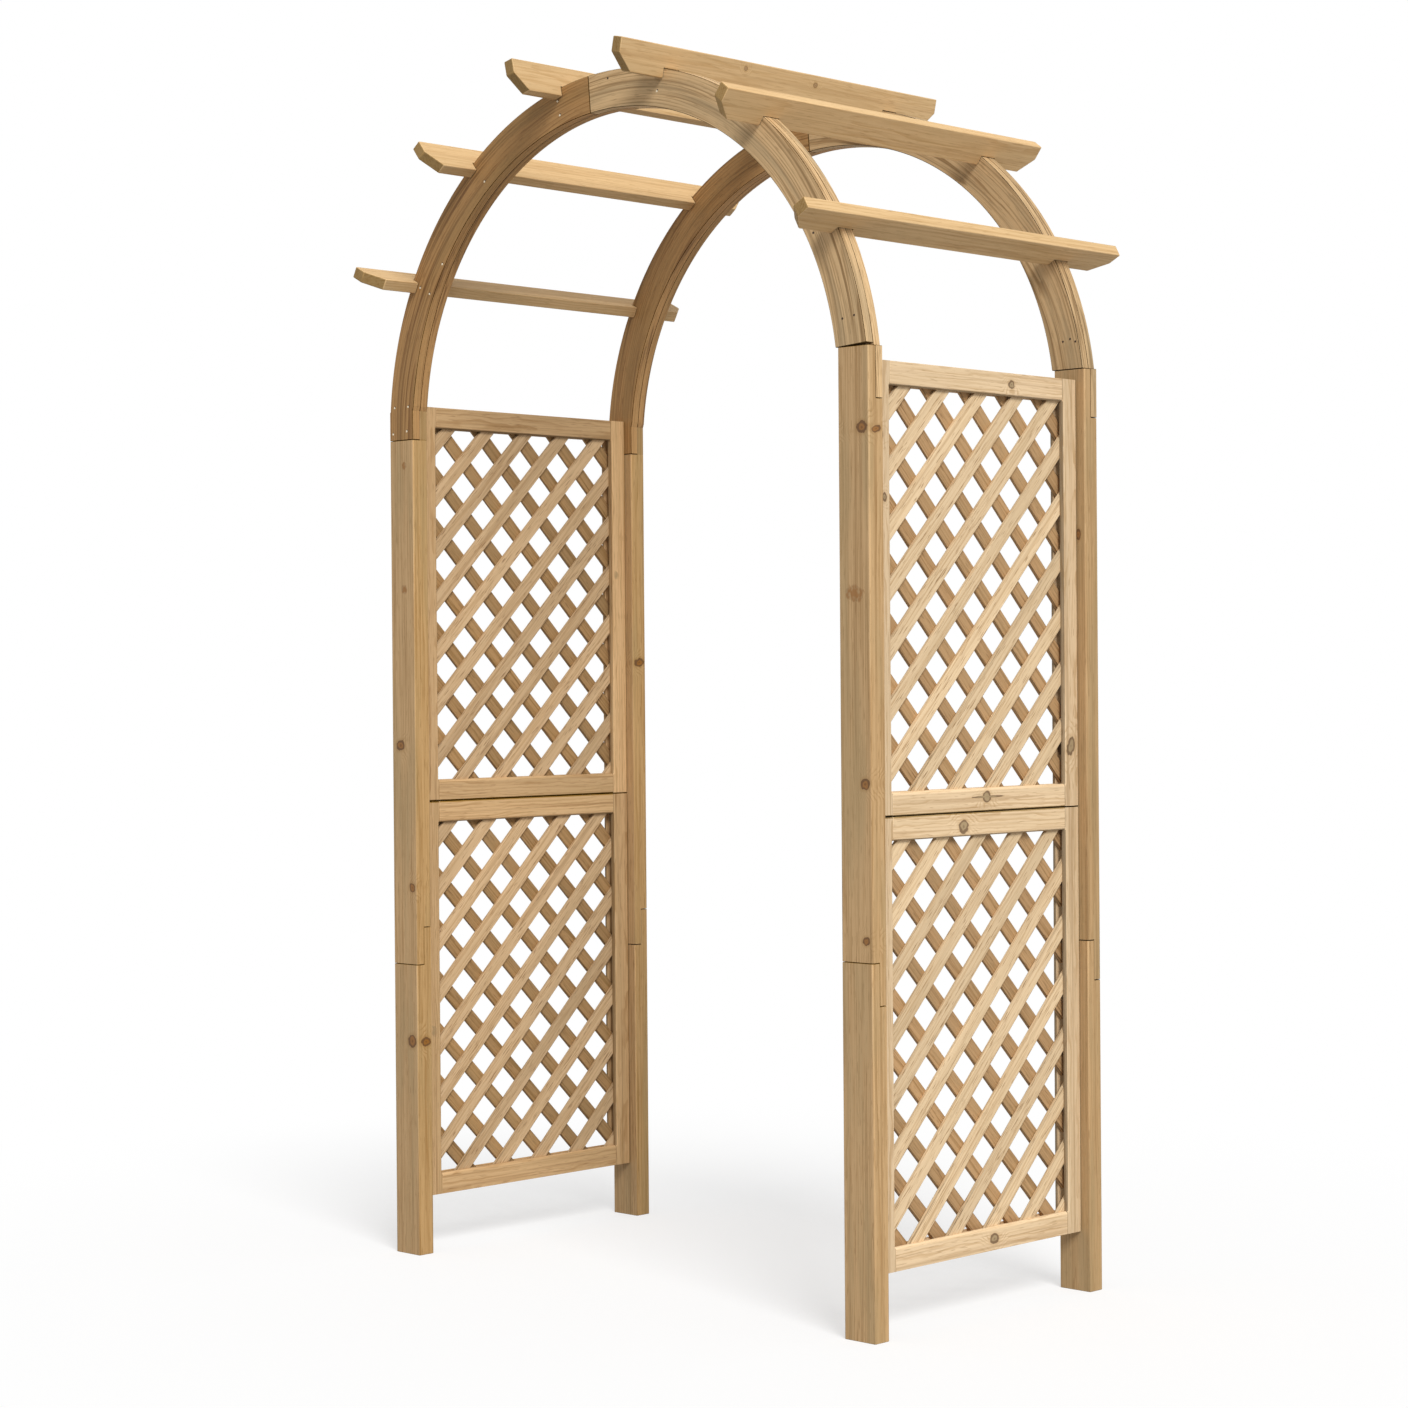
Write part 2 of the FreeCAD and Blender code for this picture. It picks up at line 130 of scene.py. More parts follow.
class Ply(Enum):
    """Which of the two layers of a round arch."""

    FORE = "fore"
    AFT = "aft"


class Level(Enum):
    """Which of a side's two lattice panels."""

    LOWER = "lower"
    UPPER = "upper"


class Lean(Enum):
    """How a layer of slats runs, seen from the +X side."""

    RISING = "rising"
    FALLING = "falling"

    @property
    def sign(self) -> int:
        """Sign of the slats' slope towards the rear."""
        return 1 if self is Lean.RISING else -1


class KnotAxis(Enum):
    """The direction in which a branch crosses a board."""

    THROUGH = "through"
    ACROSS = "across"


class WearAndPaintedLight(Enum):
    """What has become of a surface, or the light painted on it: how much lighter it is than the board."""

    # A painted highlight on rounded edges
    RUBBED = 0.08
    SAWN = -0.08
    TANNED = -0.17
    TIGHT = -0.2
    # Painted shade on the faces of a panel frame that look into its opening
    STAINED = -0.45
    # A dark lap joint, and painted shade in the recess where a rear stile meets its post
    LAP = -0.5
    # A dark joint, and painted shade on the faces in the gap between two panels
    JOINT = -0.85


class Slot(Enum):
    """Names for material slots; no piece here is given one."""

    FRAME = "frame_boards"
    RAILS = "rails"
    PANELS = "panel_frames"
    SLATS = "slats"


class Blotch(Enum):
    """Noise drawn out along the grain: length and width of a blotch in mm, and octaves of finer noise.

    Fibre bundles and flecks are drawn a little over 2 mm wide, the finest that the picture can show.
    """

    FIBRES = (160.0, 3.0, 3.0)
    FLECKS = (34.0, 2.4, 1.0)
    STREAKS = (700.0, 9.0, 2.0)
    PATCHES = (420.0, 38.0, 2.0)
    FADING = (260.0, 14.0, 1.0)
    RIM = (12.0, 8.0, 1.0)
    BARK = (26.0, 22.0, 1.0)
    MOTTLE = (9.0, 7.0, 1.0)


def linear(hex_colour: str) -> tuple[float, float, float, float]:
    """Turns an sRGB hex colour into linear RGBA.

    Args:
        hex_colour: Colour such as "C8A06A".

    Returns:
        Linear red, green and blue, and an alpha of one.
    """
    channels = []
    for start in (0, 2, 4):
        value = int(hex_colour[start:start + 2], 16) / 255
        channels.append(value / 12.92 if value <= 0.04045 else ((value + 0.055) / 1.055) ** 2.4)
    return (*channels, 1.0)


def empty_tree(owner: Material | World) -> NodeTree:
    """Gives a material or a world a node tree with nothing in it.

    Args:
        owner: The material or the world.

    Returns:
        The node tree.
    """
    owner.use_nodes = True
    owner.node_tree.nodes.clear()
    return owner.node_tree


def add_node(tree: NodeTree, kind: str, inputs: dict | None = None, **settings: object) -> Node:
    """Adds a shader node with its settings and links.

    Args:
        tree: Node tree that takes the node.
        kind: Blender's name of the node type.
        inputs: Socket name or number to a source, which is linked, or to a value.
        settings: Properties of the node.

    Returns:
        The new node.
    """
    node = tree.nodes.new(kind)
    for name, value in settings.items():
        setattr(node, name, value)
    for key, value in (inputs or {}).items():
        source = value.outputs[0] if isinstance(value, Node) else value
        if isinstance(source, NodeSocket):
            tree.links.new(source, node.inputs[key])
        else:
            node.inputs[key].default_value = source
    return node


@dataclass(frozen=True)
class WoodFinish:
    """Planed pine, pressure treated: pale early wood, brown late wood and a greenish grey weathered cast.

    Attributes:
        name: Material name.
        early: Colour of the early wood.
        late: Colour of the late wood.
        streak: Colour of the resin streaks and of the flecks.
        weathered: Colour of the weathered patches.
        weathering: Share of the weathered colour in a patch, from 0 to 1.
        ring_share: Share of the late wood's colour in a ring, from 0 to 1.
        streak_share: Share of the streak colour in a streak, from 0 to 1.
        fleck_share: Share of the streak colour in a fleck, from 0 to 1.
        fibre_share: Share of the late wood's colour in a fibre, from 0 to 1.
        knot_heart: Colour of a knot.
        knot_rim: Colour of the bark round a knot.
        ring_spacing: Year ring width in mm; about twice the real one, so that it shows in the picture.
        wander: Length in mm over which the rings wander; a short one gives a wavy figure.
        roughness: Roughness of the planed face between the fibres.
        fibre_polish: How much smoother the face is on a fibre.
        relief: Depth of the grain in the planed face.
    """

    name: str
    early: str
    late: str
    streak: str
    weathered: str
    weathering: float = 0.35
    ring_share: float = 0.6
    streak_share: float = 0.55
    fleck_share: float = 0.45
    fibre_share: float = 0.5
    knot_heart: str = "A0703F"
    knot_rim: str = "66452A"
    ring_spacing: float = 5.5
    wander: float = 600.0
    roughness: float = 0.78
    fibre_polish: float = 0.2
    relief: float = 0.5 * MM

    def build(self) -> Material:
        """Makes the material.

        Returns:
            A material that reads the wood coordinates of a board.
        """
        material = bpy.data.materials.new(self.name)
        tree = empty_tree(material)
        wood = add_node(tree, "ShaderNodeAttribute", attribute_name="wood").outputs["Vector"]
        noises = {blotch: self._noise(tree, wood, *blotch.value) for blotch in Blotch}
        fibres = noises[Blotch.FIBRES]
        knot, pale_knot = (
            self._nearest_knot(tree, noises[Blotch.RIM], names) for names in (KNOTS, PALE_KNOTS)
        )
        rings = self._rings(tree, wood, knot, noises[Blotch.FADING])
        colour = self._stained(tree, noises, rings, knot, pale_knot)
        heights = {0: rings, 1: LATE_WOOD_SINKS, 2: fibres}
        height = add_node(tree, "ShaderNodeMath", heights, operation="MULTIPLY_ADD")
        grain = {"Strength": 0.35, "Distance": self.relief, "Height": height}
        polish = {"Value": fibres, "To Min": self.roughness, "To Max": self.roughness - self.fibre_polish}
        # A joint's dirt has no sheen, painted shade little and a painted highlight more
        wear_and_light = add_node(tree, "ShaderNodeAttribute", attribute_name="wear_and_painted_light").outputs["Fac"]
        sheen = {0: wear_and_light, 1: SHEEN_OF_WEAR_AND_LIGHT, 2: SHEEN}
        surface = {
            "Base Color": self._board_tone(tree, colour),
            "Roughness": add_node(tree, "ShaderNodeMapRange", polish),
            "Specular IOR Level": add_node(
                tree, "ShaderNodeMath", sheen, operation="MULTIPLY_ADD", use_clamp=True
            ),
            "Normal": add_node(tree, "ShaderNodeBump", grain),
        }
        shader = add_node(tree, "ShaderNodeBsdfPrincipled", surface)
        add_node(tree, "ShaderNodeOutputMaterial", {"Surface": shader})
        return material

    def _noise(self, tree: NodeTree, wood: NodeSocket, length: float, width: float, detail: float) -> Node:
        """Noise drawn out along the grain.

        Args:
            tree: Node tree of the material.
            wood: Wood coordinates.
            length: Length of a blotch in mm.
            width: Width of a blotch in mm.
            detail: Octaves of finer noise.

        Returns:
            The noise, from 0 to 1.
        """
        scale = (1 / (length * MM), 1 / (width * MM), 1 / (width * MM))
        stretched = add_node(tree, "ShaderNodeMapping", {"Vector": wood, "Scale": scale})
        inputs = {"Vector": stretched, "Scale": 1.0, "Detail": detail, "Roughness": 0.55}
        return add_node(tree, "ShaderNodeTexNoise", inputs)

    def _stained(
        self, tree: NodeTree, noises: dict[Blotch, Node], rings: Node, knot: Node, pale_knot: Node
    ) -> Source:
        """Lays the stains of the wood over the early wood, one by one.

        Args:
            tree: Node tree of the material.
            noises: The noises along the grain.
            rings: Share of late wood.
            knot: Distance to the nearest knot in radii.
            pale_knot: Distance to the nearest pale knot in radii.

        Returns:
            The colour of the wood.
        """
        heart, tip = (
            add_node(tree, "ShaderNodeMath", {0: noise, 1: spread, 2: distance}, operation="MULTIPLY_ADD")
            for noise, spread, distance in (
                (noises[Blotch.BARK], 1.3, knot), (noises[Blotch.MOTTLE], 2.4, pale_knot),
            )
        )
        # Each has a pattern, the values of it where the stain starts and is full, a share and a shade
        stains = (
            (rings, 0.0, 1.0, self.ring_share, self.late),
            (noises[Blotch.FIBRES], 0.46, 0.7, self.fibre_share, self.late),
            (noises[Blotch.STREAKS], 0.52, 0.7, self.streak_share, self.streak),
            (noises[Blotch.FLECKS], 0.6, 0.72, self.fleck_share, self.streak),
            (noises[Blotch.PATCHES], 0.42, 0.68, self.weathering, self.weathered),
            # A knot has a stained halo, bark that is thick on one side, its own heart wood and a dark pith
            (knot, 1.8, 1.15, 0.4, self.late),
            (knot, 1.15, 0.98, 0.85, self.knot_rim),
            (heart, 1.42, 1.12, 0.9, self.knot_heart),
            (knot, 0.3, 0.08, 0.5, self.knot_rim),
            # A pale knot was cut near its tip: a faint rim, and a mottled heart near the board's colour
            (pale_knot, 1.12, 1.0, 0.22, self.knot_rim),
            (tip, 2.3, 1.5, 0.8, self.knot_heart),
        )
        colour = linear(self.early)
        for pattern, start, full, share, shade in stains:
            span = {"Value": pattern, "From Min": start, "From Max": full, "To Max": share}
            strength = add_node(tree, "ShaderNodeMapRange", span, interpolation_type="SMOOTHSTEP")
            layers = {FACTOR: strength, COLOUR_A: colour, COLOUR_B: linear(shade)}
            colour = add_node(tree, "ShaderNodeMix", layers, data_type="RGBA").outputs[RESULT]
        return colour

    def _nearest_knot(self, tree: NodeTree, rim: Node, names: Sequence[str]) -> Node:
        """Distance to the nearest knot, in radii of that knot, with an uneven rim.

        Args:
            tree: Node tree of the material.
            rim: Noise that makes the rim uneven.
            names: Attributes that hold the offsets from the knots.

        Returns:
            The distance, about 1 at the knot's rim.
        """
        nearest = FAR_FROM_KNOT.length
        for name in names:
            offset = add_node(tree, "ShaderNodeAttribute", attribute_name=name).outputs["Vector"]
            measure = add_node(tree, "ShaderNodeVectorMath", {0: offset}, operation="LENGTH")
            pair = {0: nearest, 1: measure.outputs["Value"]}
            nearest = add_node(tree, "ShaderNodeMath", pair, operation="MINIMUM")
        uneven = add_node(tree, "ShaderNodeMath", {0: rim, 1: 0.5}, operation="SUBTRACT")
        rimmed = {0: uneven, 1: RIM_UNEVENNESS, 2: nearest}
        return add_node(tree, "ShaderNodeMath", rimmed, operation="MULTIPLY_ADD")

    def _rings(self, tree: NodeTree, wood: NodeSocket, knot: Node, fading: Node) -> Node:
        """Year rings about the heart of the log, which wander and bend round the knots.

        Args:
            tree: Node tree of the material.
            wood: Wood coordinates, measured from the heart.
            knot: Distance to the nearest knot in radii.
            fading: Noise that makes the rings faint in places.

        Returns:
            The share of late wood, from 0 to 1.
        """
        year = self.ring_spacing * MM
        section = add_node(tree, "ShaderNodeVectorMath", {0: wood, 1: (0, 1, 1)}, operation="MULTIPLY")
        radius = add_node(tree, "ShaderNodeVectorMath", {0: section}, operation="LENGTH").outputs["Value"]
        wander = self._noise(tree, wood, self.wander, STRAY_WIDTH, 3.0)
        strayed = {0: wander, 1: RING_STRAY, 2: radius}
        near_knot = {"Value": knot, "From Min": 0.6, "From Max": 4.0, "To Min": KNOT_BEND, "To Max": 0.0}
        bent = {
            0: add_node(tree, "ShaderNodeMath", strayed, operation="MULTIPLY_ADD"),
            1: add_node(tree, "ShaderNodeMapRange", near_knot, interpolation_type="SMOOTHERSTEP"),
        }
        grown = add_node(tree, "ShaderNodeMath", bent, operation="ADD")
        season = add_node(tree, "ShaderNodeMath", {0: grown, 1: year}, operation="FLOORED_MODULO")
        share = 1.0
        for value, start, full, curve in (
            (season, LATE_START * year, LATE_FULL * year, "SMOOTHSTEP"),
            (season, year, LATE_END * year, "LINEAR"),
            (fading, 0.3, 0.65, "LINEAR"),
        ):
            span = {"Value": value, "From Min": start, "From Max": full}
            factor = add_node(tree, "ShaderNodeMapRange", span, interpolation_type=curve)
            share = add_node(tree, "ShaderNodeMath", {0: share, 1: factor}, operation="MULTIPLY")
        return share

    def _board_tone(self, tree: NodeTree, colour: Source) -> Node:
        """Gives each board its tone and warmth, darkens end grain and joints, and adds the painted light of
        its marks.

        Args:
            tree: Node tree of the material.
            colour: Colour before the board's tone.

        Returns:
            The finished colour.
        """
        value = 1.0
        for name, share in (("tone", 1.0), ("wear_and_painted_light", 1.0), ("end_grain", END_GRAIN_SHADE)):
            effect = add_node(tree, "ShaderNodeAttribute", attribute_name=name).outputs["Fac"]
            terms = {0: effect, 1: share, 2: value}
            value = add_node(tree, "ShaderNodeMath", terms, operation="MULTIPLY_ADD")
        warmth = add_node(tree, "ShaderNodeAttribute", attribute_name="warmth").outputs["Fac"]
        saturation = add_node(tree, "ShaderNodeMath", {0: warmth, 1: 1.0}, operation="ADD")
        inputs = {"Saturation": saturation, "Value": value, "Color": colour}
        return add_node(tree, "ShaderNodeHueSaturation", inputs)


@dataclass(frozen=True)
class NailFinish:
    """Steel nail heads: bright zinc or dull and rusted, with a mottled surface.

    Attributes:
        name: Material name.
        colour: Colour of the metal.
        rust: Colour of the mottling.
        metallic: Share of bare metal.
        roughness: Roughness of the head.
        mottling: Size of a blotch of the mottling.
        relief: Depth of the mottling.
    """

    name: str
    colour: str
    rust: str
    metallic: float
    roughness: float
    mottling: float = 2.5 * MM
    relief: float = 0.2 * MM

    def build(self) -> Material:
        """Makes the material.

        Returns:
            The material of a nail head.
        """
        material = bpy.data.materials.new(self.name)
        tree = empty_tree(material)
        place = add_node(tree, "ShaderNodeTexCoord").outputs["Object"]
        spots = {"Vector": place, "Scale": 1 / self.mottling, "Detail": 2.0}
        mottle = add_node(tree, "ShaderNodeTexNoise", spots)
        layers = {FACTOR: mottle, COLOUR_A: linear(self.colour), COLOUR_B: linear(self.rust)}
        pits = {"Strength": 0.3, "Distance": self.relief, "Height": mottle}
        surface = {
            "Base Color": add_node(tree, "ShaderNodeMix", layers, data_type="RGBA").outputs[RESULT],
            "Metallic": self.metallic,
            "Roughness": self.roughness,
            "Normal": add_node(tree, "ShaderNodeBump", pits),
        }
        shader = add_node(tree, "ShaderNodeBsdfPrincipled", surface)
        add_node(tree, "ShaderNodeOutputMaterial", {"Surface": shader})
        return material


@dataclass(frozen=True)
class Knot:
    """A branch that crosses a board.

    Attributes:
        along: Place along the grain in mm, on the axis that the grain follows.
        aside: Distance off the board's middle in mm.
        length: Half of its length along the grain in mm.
        width: Half of its width across the grain in mm.
        axis: Direction of the branch.
        tilt: Turn of the knot away from the grain, in degrees.
        pale: Whether it is little darker than the board.
    """

    along: float
    aside: float
    length: float
    width: float
    axis: KnotAxis = KnotAxis.THROUGH
    tilt: float = 0.0
    pale: bool = False


class Grain(ABC):
    """The run of the grain in a board."""

    @abstractmethod
    def coordinates(self, point: Vector) -> Vector:
        """Gives a point's place along the grain, across the board and through it."""

    @abstractmethod
    def direction(self, point: Vector) -> Vector:
        """Gives the direction of the grain at a point."""


@dataclass(frozen=True)
class StraightGrain(Grain):
    """Grain of a straight timber.

    Attributes:
        middle: A point on the board's middle line.
        along: Direction of the grain.
        across: Direction of the board's width.
    """

    middle: Vector
    along: Vector
    across: Vector

    def coordinates(self, point: Vector) -> Vector:
        """Gives a point's place along the grain, across the board and through it.

        Args:
            point: Point of the timber.

        Returns:
            The place.
        """
        offset = point - self.middle
        through = self.along.cross(self.across)
        return Vector((point.dot(self.along), offset.dot(self.across), offset.dot(through)))

    def direction(self, point: Vector) -> Vector:
        """Gives the direction of the grain, which is the same everywhere."""
        return self.along


@dataclass(frozen=True)
class CurvedGrain(Grain):
    """Grain of a curved board, which follows the curve but drifts slowly across it.

    Attributes:
        centre: Centre of the arch, at the middle of the board's thickness.
        radius: Radius of the board's middle line.
        drift: How far the grain strays across the board.
    """

    centre: Vector
    radius: float
    drift: float

    def coordinates(self, point: Vector) -> Vector:
        """Gives a point's place along the curve, across the board and through it.

        Args:
            point: Point of the board.

        Returns:
            The place.
        """
        offset = point - self.centre
        angle = math.atan2(offset.x, offset.z)
        across = math.hypot(offset.x, offset.z) - self.radius + self.drift * math.sin(3 * angle)
        return Vector((angle * self.radius, across, offset.y))

    def direction(self, point: Vector) -> Vector:
        """Gives the direction of the curve at a point."""
        offset = point - self.centre
        return Vector((offset.z, 0, -offset.x)).normalized()


@dataclass
class Board:
    """The wood of one timber.

    Attributes:
        name: Name that seeds the board's own chance values.
        grain: Run of the grain.
        tone: How much lighter or darker the board is than its finish.
        knots: Knots in the board.
        warmth: How much stronger the colour is on the sides than on front and rear, as painted light.
        side_painted_light: How much lighter the sides are, as painted light.
        heart_reach: Nearest and farthest distance of the log's heart from the board, in mm.
        heart: The log's heart, drawn by chance.
    """

    name: str
    grain: Grain
    tone: float = 0.0
    knots: Sequence[Knot] = ()
    warmth: float = 0.0
    side_painted_light: float = 0.0
    heart_reach: tuple[float, float] = (35.0, 85.0)
    heart: Vector = field(init=False)

    def __post_init__(self) -> None:
        """Draws where the board was cut from its log."""
        chance = random.Random(f"{SEED} {self.name}")
        away = chance.uniform(*self.heart_reach) * MM
        bearing = chance.uniform(*HEART_BEARING) * chance.choice((-1, 1))
        start = chance.uniform(*LOG_SPAN)
        self.heart = Vector((start, away * math.sin(bearing), away * math.cos(bearing)))
        self.tone += chance.uniform(*TONE_SPREAD)

    def stamp(self, bm: BMesh) -> None:
        """Writes wood coordinates, tone, knots, end grain and warmth into a mesh, and paints light on the
        sides.

        Args:
            bm: Mesh of this board alone.
        """
        vectors, numbers = bm.verts.layers.float_vector, bm.verts.layers.float
        shades = bm.faces.layers.float
        for name in ("wood", *KNOTS, *PALE_KNOTS):
            vectors.new(name)
        numbers.new("tone")
        for name in ("end_grain", "warmth"):
            shades.new(name)
        wood, tone = vectors["wood"], numbers["tone"]
        ends, warm, wear_and_light = (shades[name] for name in ("end_grain", "warmth", "wear_and_painted_light"))
        clear = zip_longest(KNOTS, [knot for knot in self.knots if not knot.pale])
        pale = zip_longest(PALE_KNOTS, [knot for knot in self.knots if knot.pale])
        knots = [(vectors[name], knot) for name, knot in (*clear, *pale)]
        for vert in bm.verts:
            place = self.grain.coordinates(vert.co)
            vert[wood] = place + self.heart
            vert[tone] = self.tone
            for layer, knot in knots:
                vert[layer] = self._from_knot(place, knot) if knot else FAR_FROM_KNOT
        for face in bm.faces:
            along = self.grain.direction(face.calc_center_median())
            if face[wear_and_light] <= WearAndPaintedLight.LAP.value:
                face[warm] = DARK_MARK_WARMTH
            elif abs(face.normal.dot(along)) > ACROSS_GRAIN:
                face[ends] = 1.0
                face[warm] = END_GRAIN_WARMTH
            # Painted light: faces that look sideways are drawn warmer and lighter
            elif abs(face.normal.y) < FACING:
                face[warm] = self.warmth
                face[wear_and_light] += self.side_painted_light

    def _from_knot(self, place: Vector, knot: Knot) -> Vector:
        """Measures a place from a knot, in half lengths and half widths of the knot.

        Args:
            place: Wood coordinates of the place.
            knot: The knot.

        Returns:
            Offset along the grain and aside from the knot's middle.
        """
        aside = place.y if knot.axis is KnotAxis.THROUGH else place.z
        offset = Vector((place.x / MM - knot.along, aside / MM - knot.aside))
        offset.rotate(Matrix.Rotation(math.radians(knot.tilt), 2))
        return Vector((offset.x / knot.length, offset.y / knot.width, 0))


def prism(outline: Sequence[Vector], sweep: Vector) -> BMesh:
    """Makes a solid by sweeping a flat outline.

    Args:
        outline: Corners of the outline, in order.
        sweep: Displacement of the far end.

    Returns:
        The closed mesh, with its faces outwards.
    """
    bm = bmesh.new()
    face = bm.faces.new([bm.verts.new(corner) for corner in outline])
    grown = bmesh.ops.extrude_face_region(bm, geom=[face], use_keep_orig=True)
    far = [item for item in grown["geom"] if isinstance(item, BMVert)]
    bmesh.ops.translate(bm, vec=sweep, verts=far)
    bmesh.ops.recalc_face_normals(bm, faces=bm.faces)
    return bm


def ease(
    bm: BMesh, wanted: Callable[[BMEdge], bool], width: float, segments: int = 2, wear_and_light: WearAndPaintedLight = WearAndPaintedLight.RUBBED
) -> None:
    """Rounds the edges that a test picks, and marks them: a painted highlight unless a darker mark is given.

    Args:
        bm: Mesh to work on.
        wanted: Says whether an edge is rounded.
        width: Width of the rounding.
        segments: Facets across the rounding.
        wear_and_light: What has become of the edges; by default a painted highlight.
    """
    layer = bm.faces.layers.float.get("wear_and_painted_light") or bm.faces.layers.float.new("wear_and_painted_light")
    made = bmesh.ops.bevel(
        bm,
        geom=[edge for edge in bm.edges if wanted(edge)],
        offset=width,
        offset_type="OFFSET",
        affect="EDGES",
        segments=segments,
        profile=0.5,
        material=-1,
        clamp_overlap=True,
    )
    for face in made["faces"]:
        face.smooth = True
        face[layer] = wear_and_light.value


def mark(bm: BMesh, wanted: Callable[[BMFace], bool], wear_and_light: WearAndPaintedLight) -> None:
    """Marks the faces that a test picks with how much lighter they are, painted shade included.

    Args:
        bm: Mesh to work on.
        wanted: Says whether a face is marked.
        wear_and_light: What has become of the faces, painted shade included.
    """
    layer = bm.faces.layers.float["wear_and_painted_light"]
    for face in bm.faces:
        if wanted(face):
            face[layer] = wear_and_light.value


def is_sharp(edge: BMEdge) -> bool:
    """Says whether an edge turns by a third of a right angle or more."""
    return edge.calc_face_angle(0.0) > SHARP


def runs_along(direction: Vector) -> Callable[[BMEdge], bool]:
    """Makes a test for sharp edges that run in a direction.

    Args:
        direction: Unit vector.

    Returns:
        The test.
    """

    def test(edge: BMEdge) -> bool:
        """Says whether the edge is sharp and runs in the direction."""
        line = (edge.verts[1].co - edge.verts[0].co).normalized()
        return abs(line.dot(direction)) > PARALLEL and is_sharp(edge)

    return test


def divide(bm: BMesh, point: Vector, normal: Vector, waste: bool = False) -> None:
    """Divides the faces that cross a plane.

    Args:
        bm: Mesh to divide.
        point: Point on the plane.
        normal: Direction that the plane faces.
        waste: Whether what lies beyond the plane is taken away.
    """
    everything = [*bm.verts, *bm.edges, *bm.faces]
    bmesh.ops.bisect_plane(bm, geom=everything, plane_co=point, plane_no=normal, clear_outer=waste)


def saw(bm: BMesh, point: Vector, normal: Vector) -> None:
    """Saws off what lies beyond a plane and closes the cut."""
    divide(bm, point, normal, waste=True)
    bmesh.ops.holes_fill(bm, edges=[edge for edge in bm.edges if edge.is_boundary])


def make_object(bm: BMesh, name: str, material: Material) -> Object:
    """Turns a mesh into an object of the scene.

    Args:
        bm: Finished mesh, which is freed.
        name: Name of the object.
        material: Its material.

    Returns:
        The object.
    """
    mesh = bpy.data.meshes.new(name)
    bm.to_mesh(mesh)
    bm.free()
    mesh.materials.append(material)
    made = bpy.data.objects.new(name, mesh)
    bpy.context.scene.collection.objects.link(made)
    return made


def publish(
    bm: BMesh, name: str, material: Material, nodes: Sequence[str] = ()
) -> None:
    """Turns a mesh into a piece of the arch, which rides on it.

    Args:
        bm: Finished mesh, which is freed.
        name: Name of the piece.
        material: Its material.
        nodes: Nodes of the frame that it stands for.
    """
    piece = make_object(bm, name, material)
    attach(piece, BODY)
    if nodes:
        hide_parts(*nodes)
    LOG.info("%s: %d faces", name, len(piece.data.polygons))


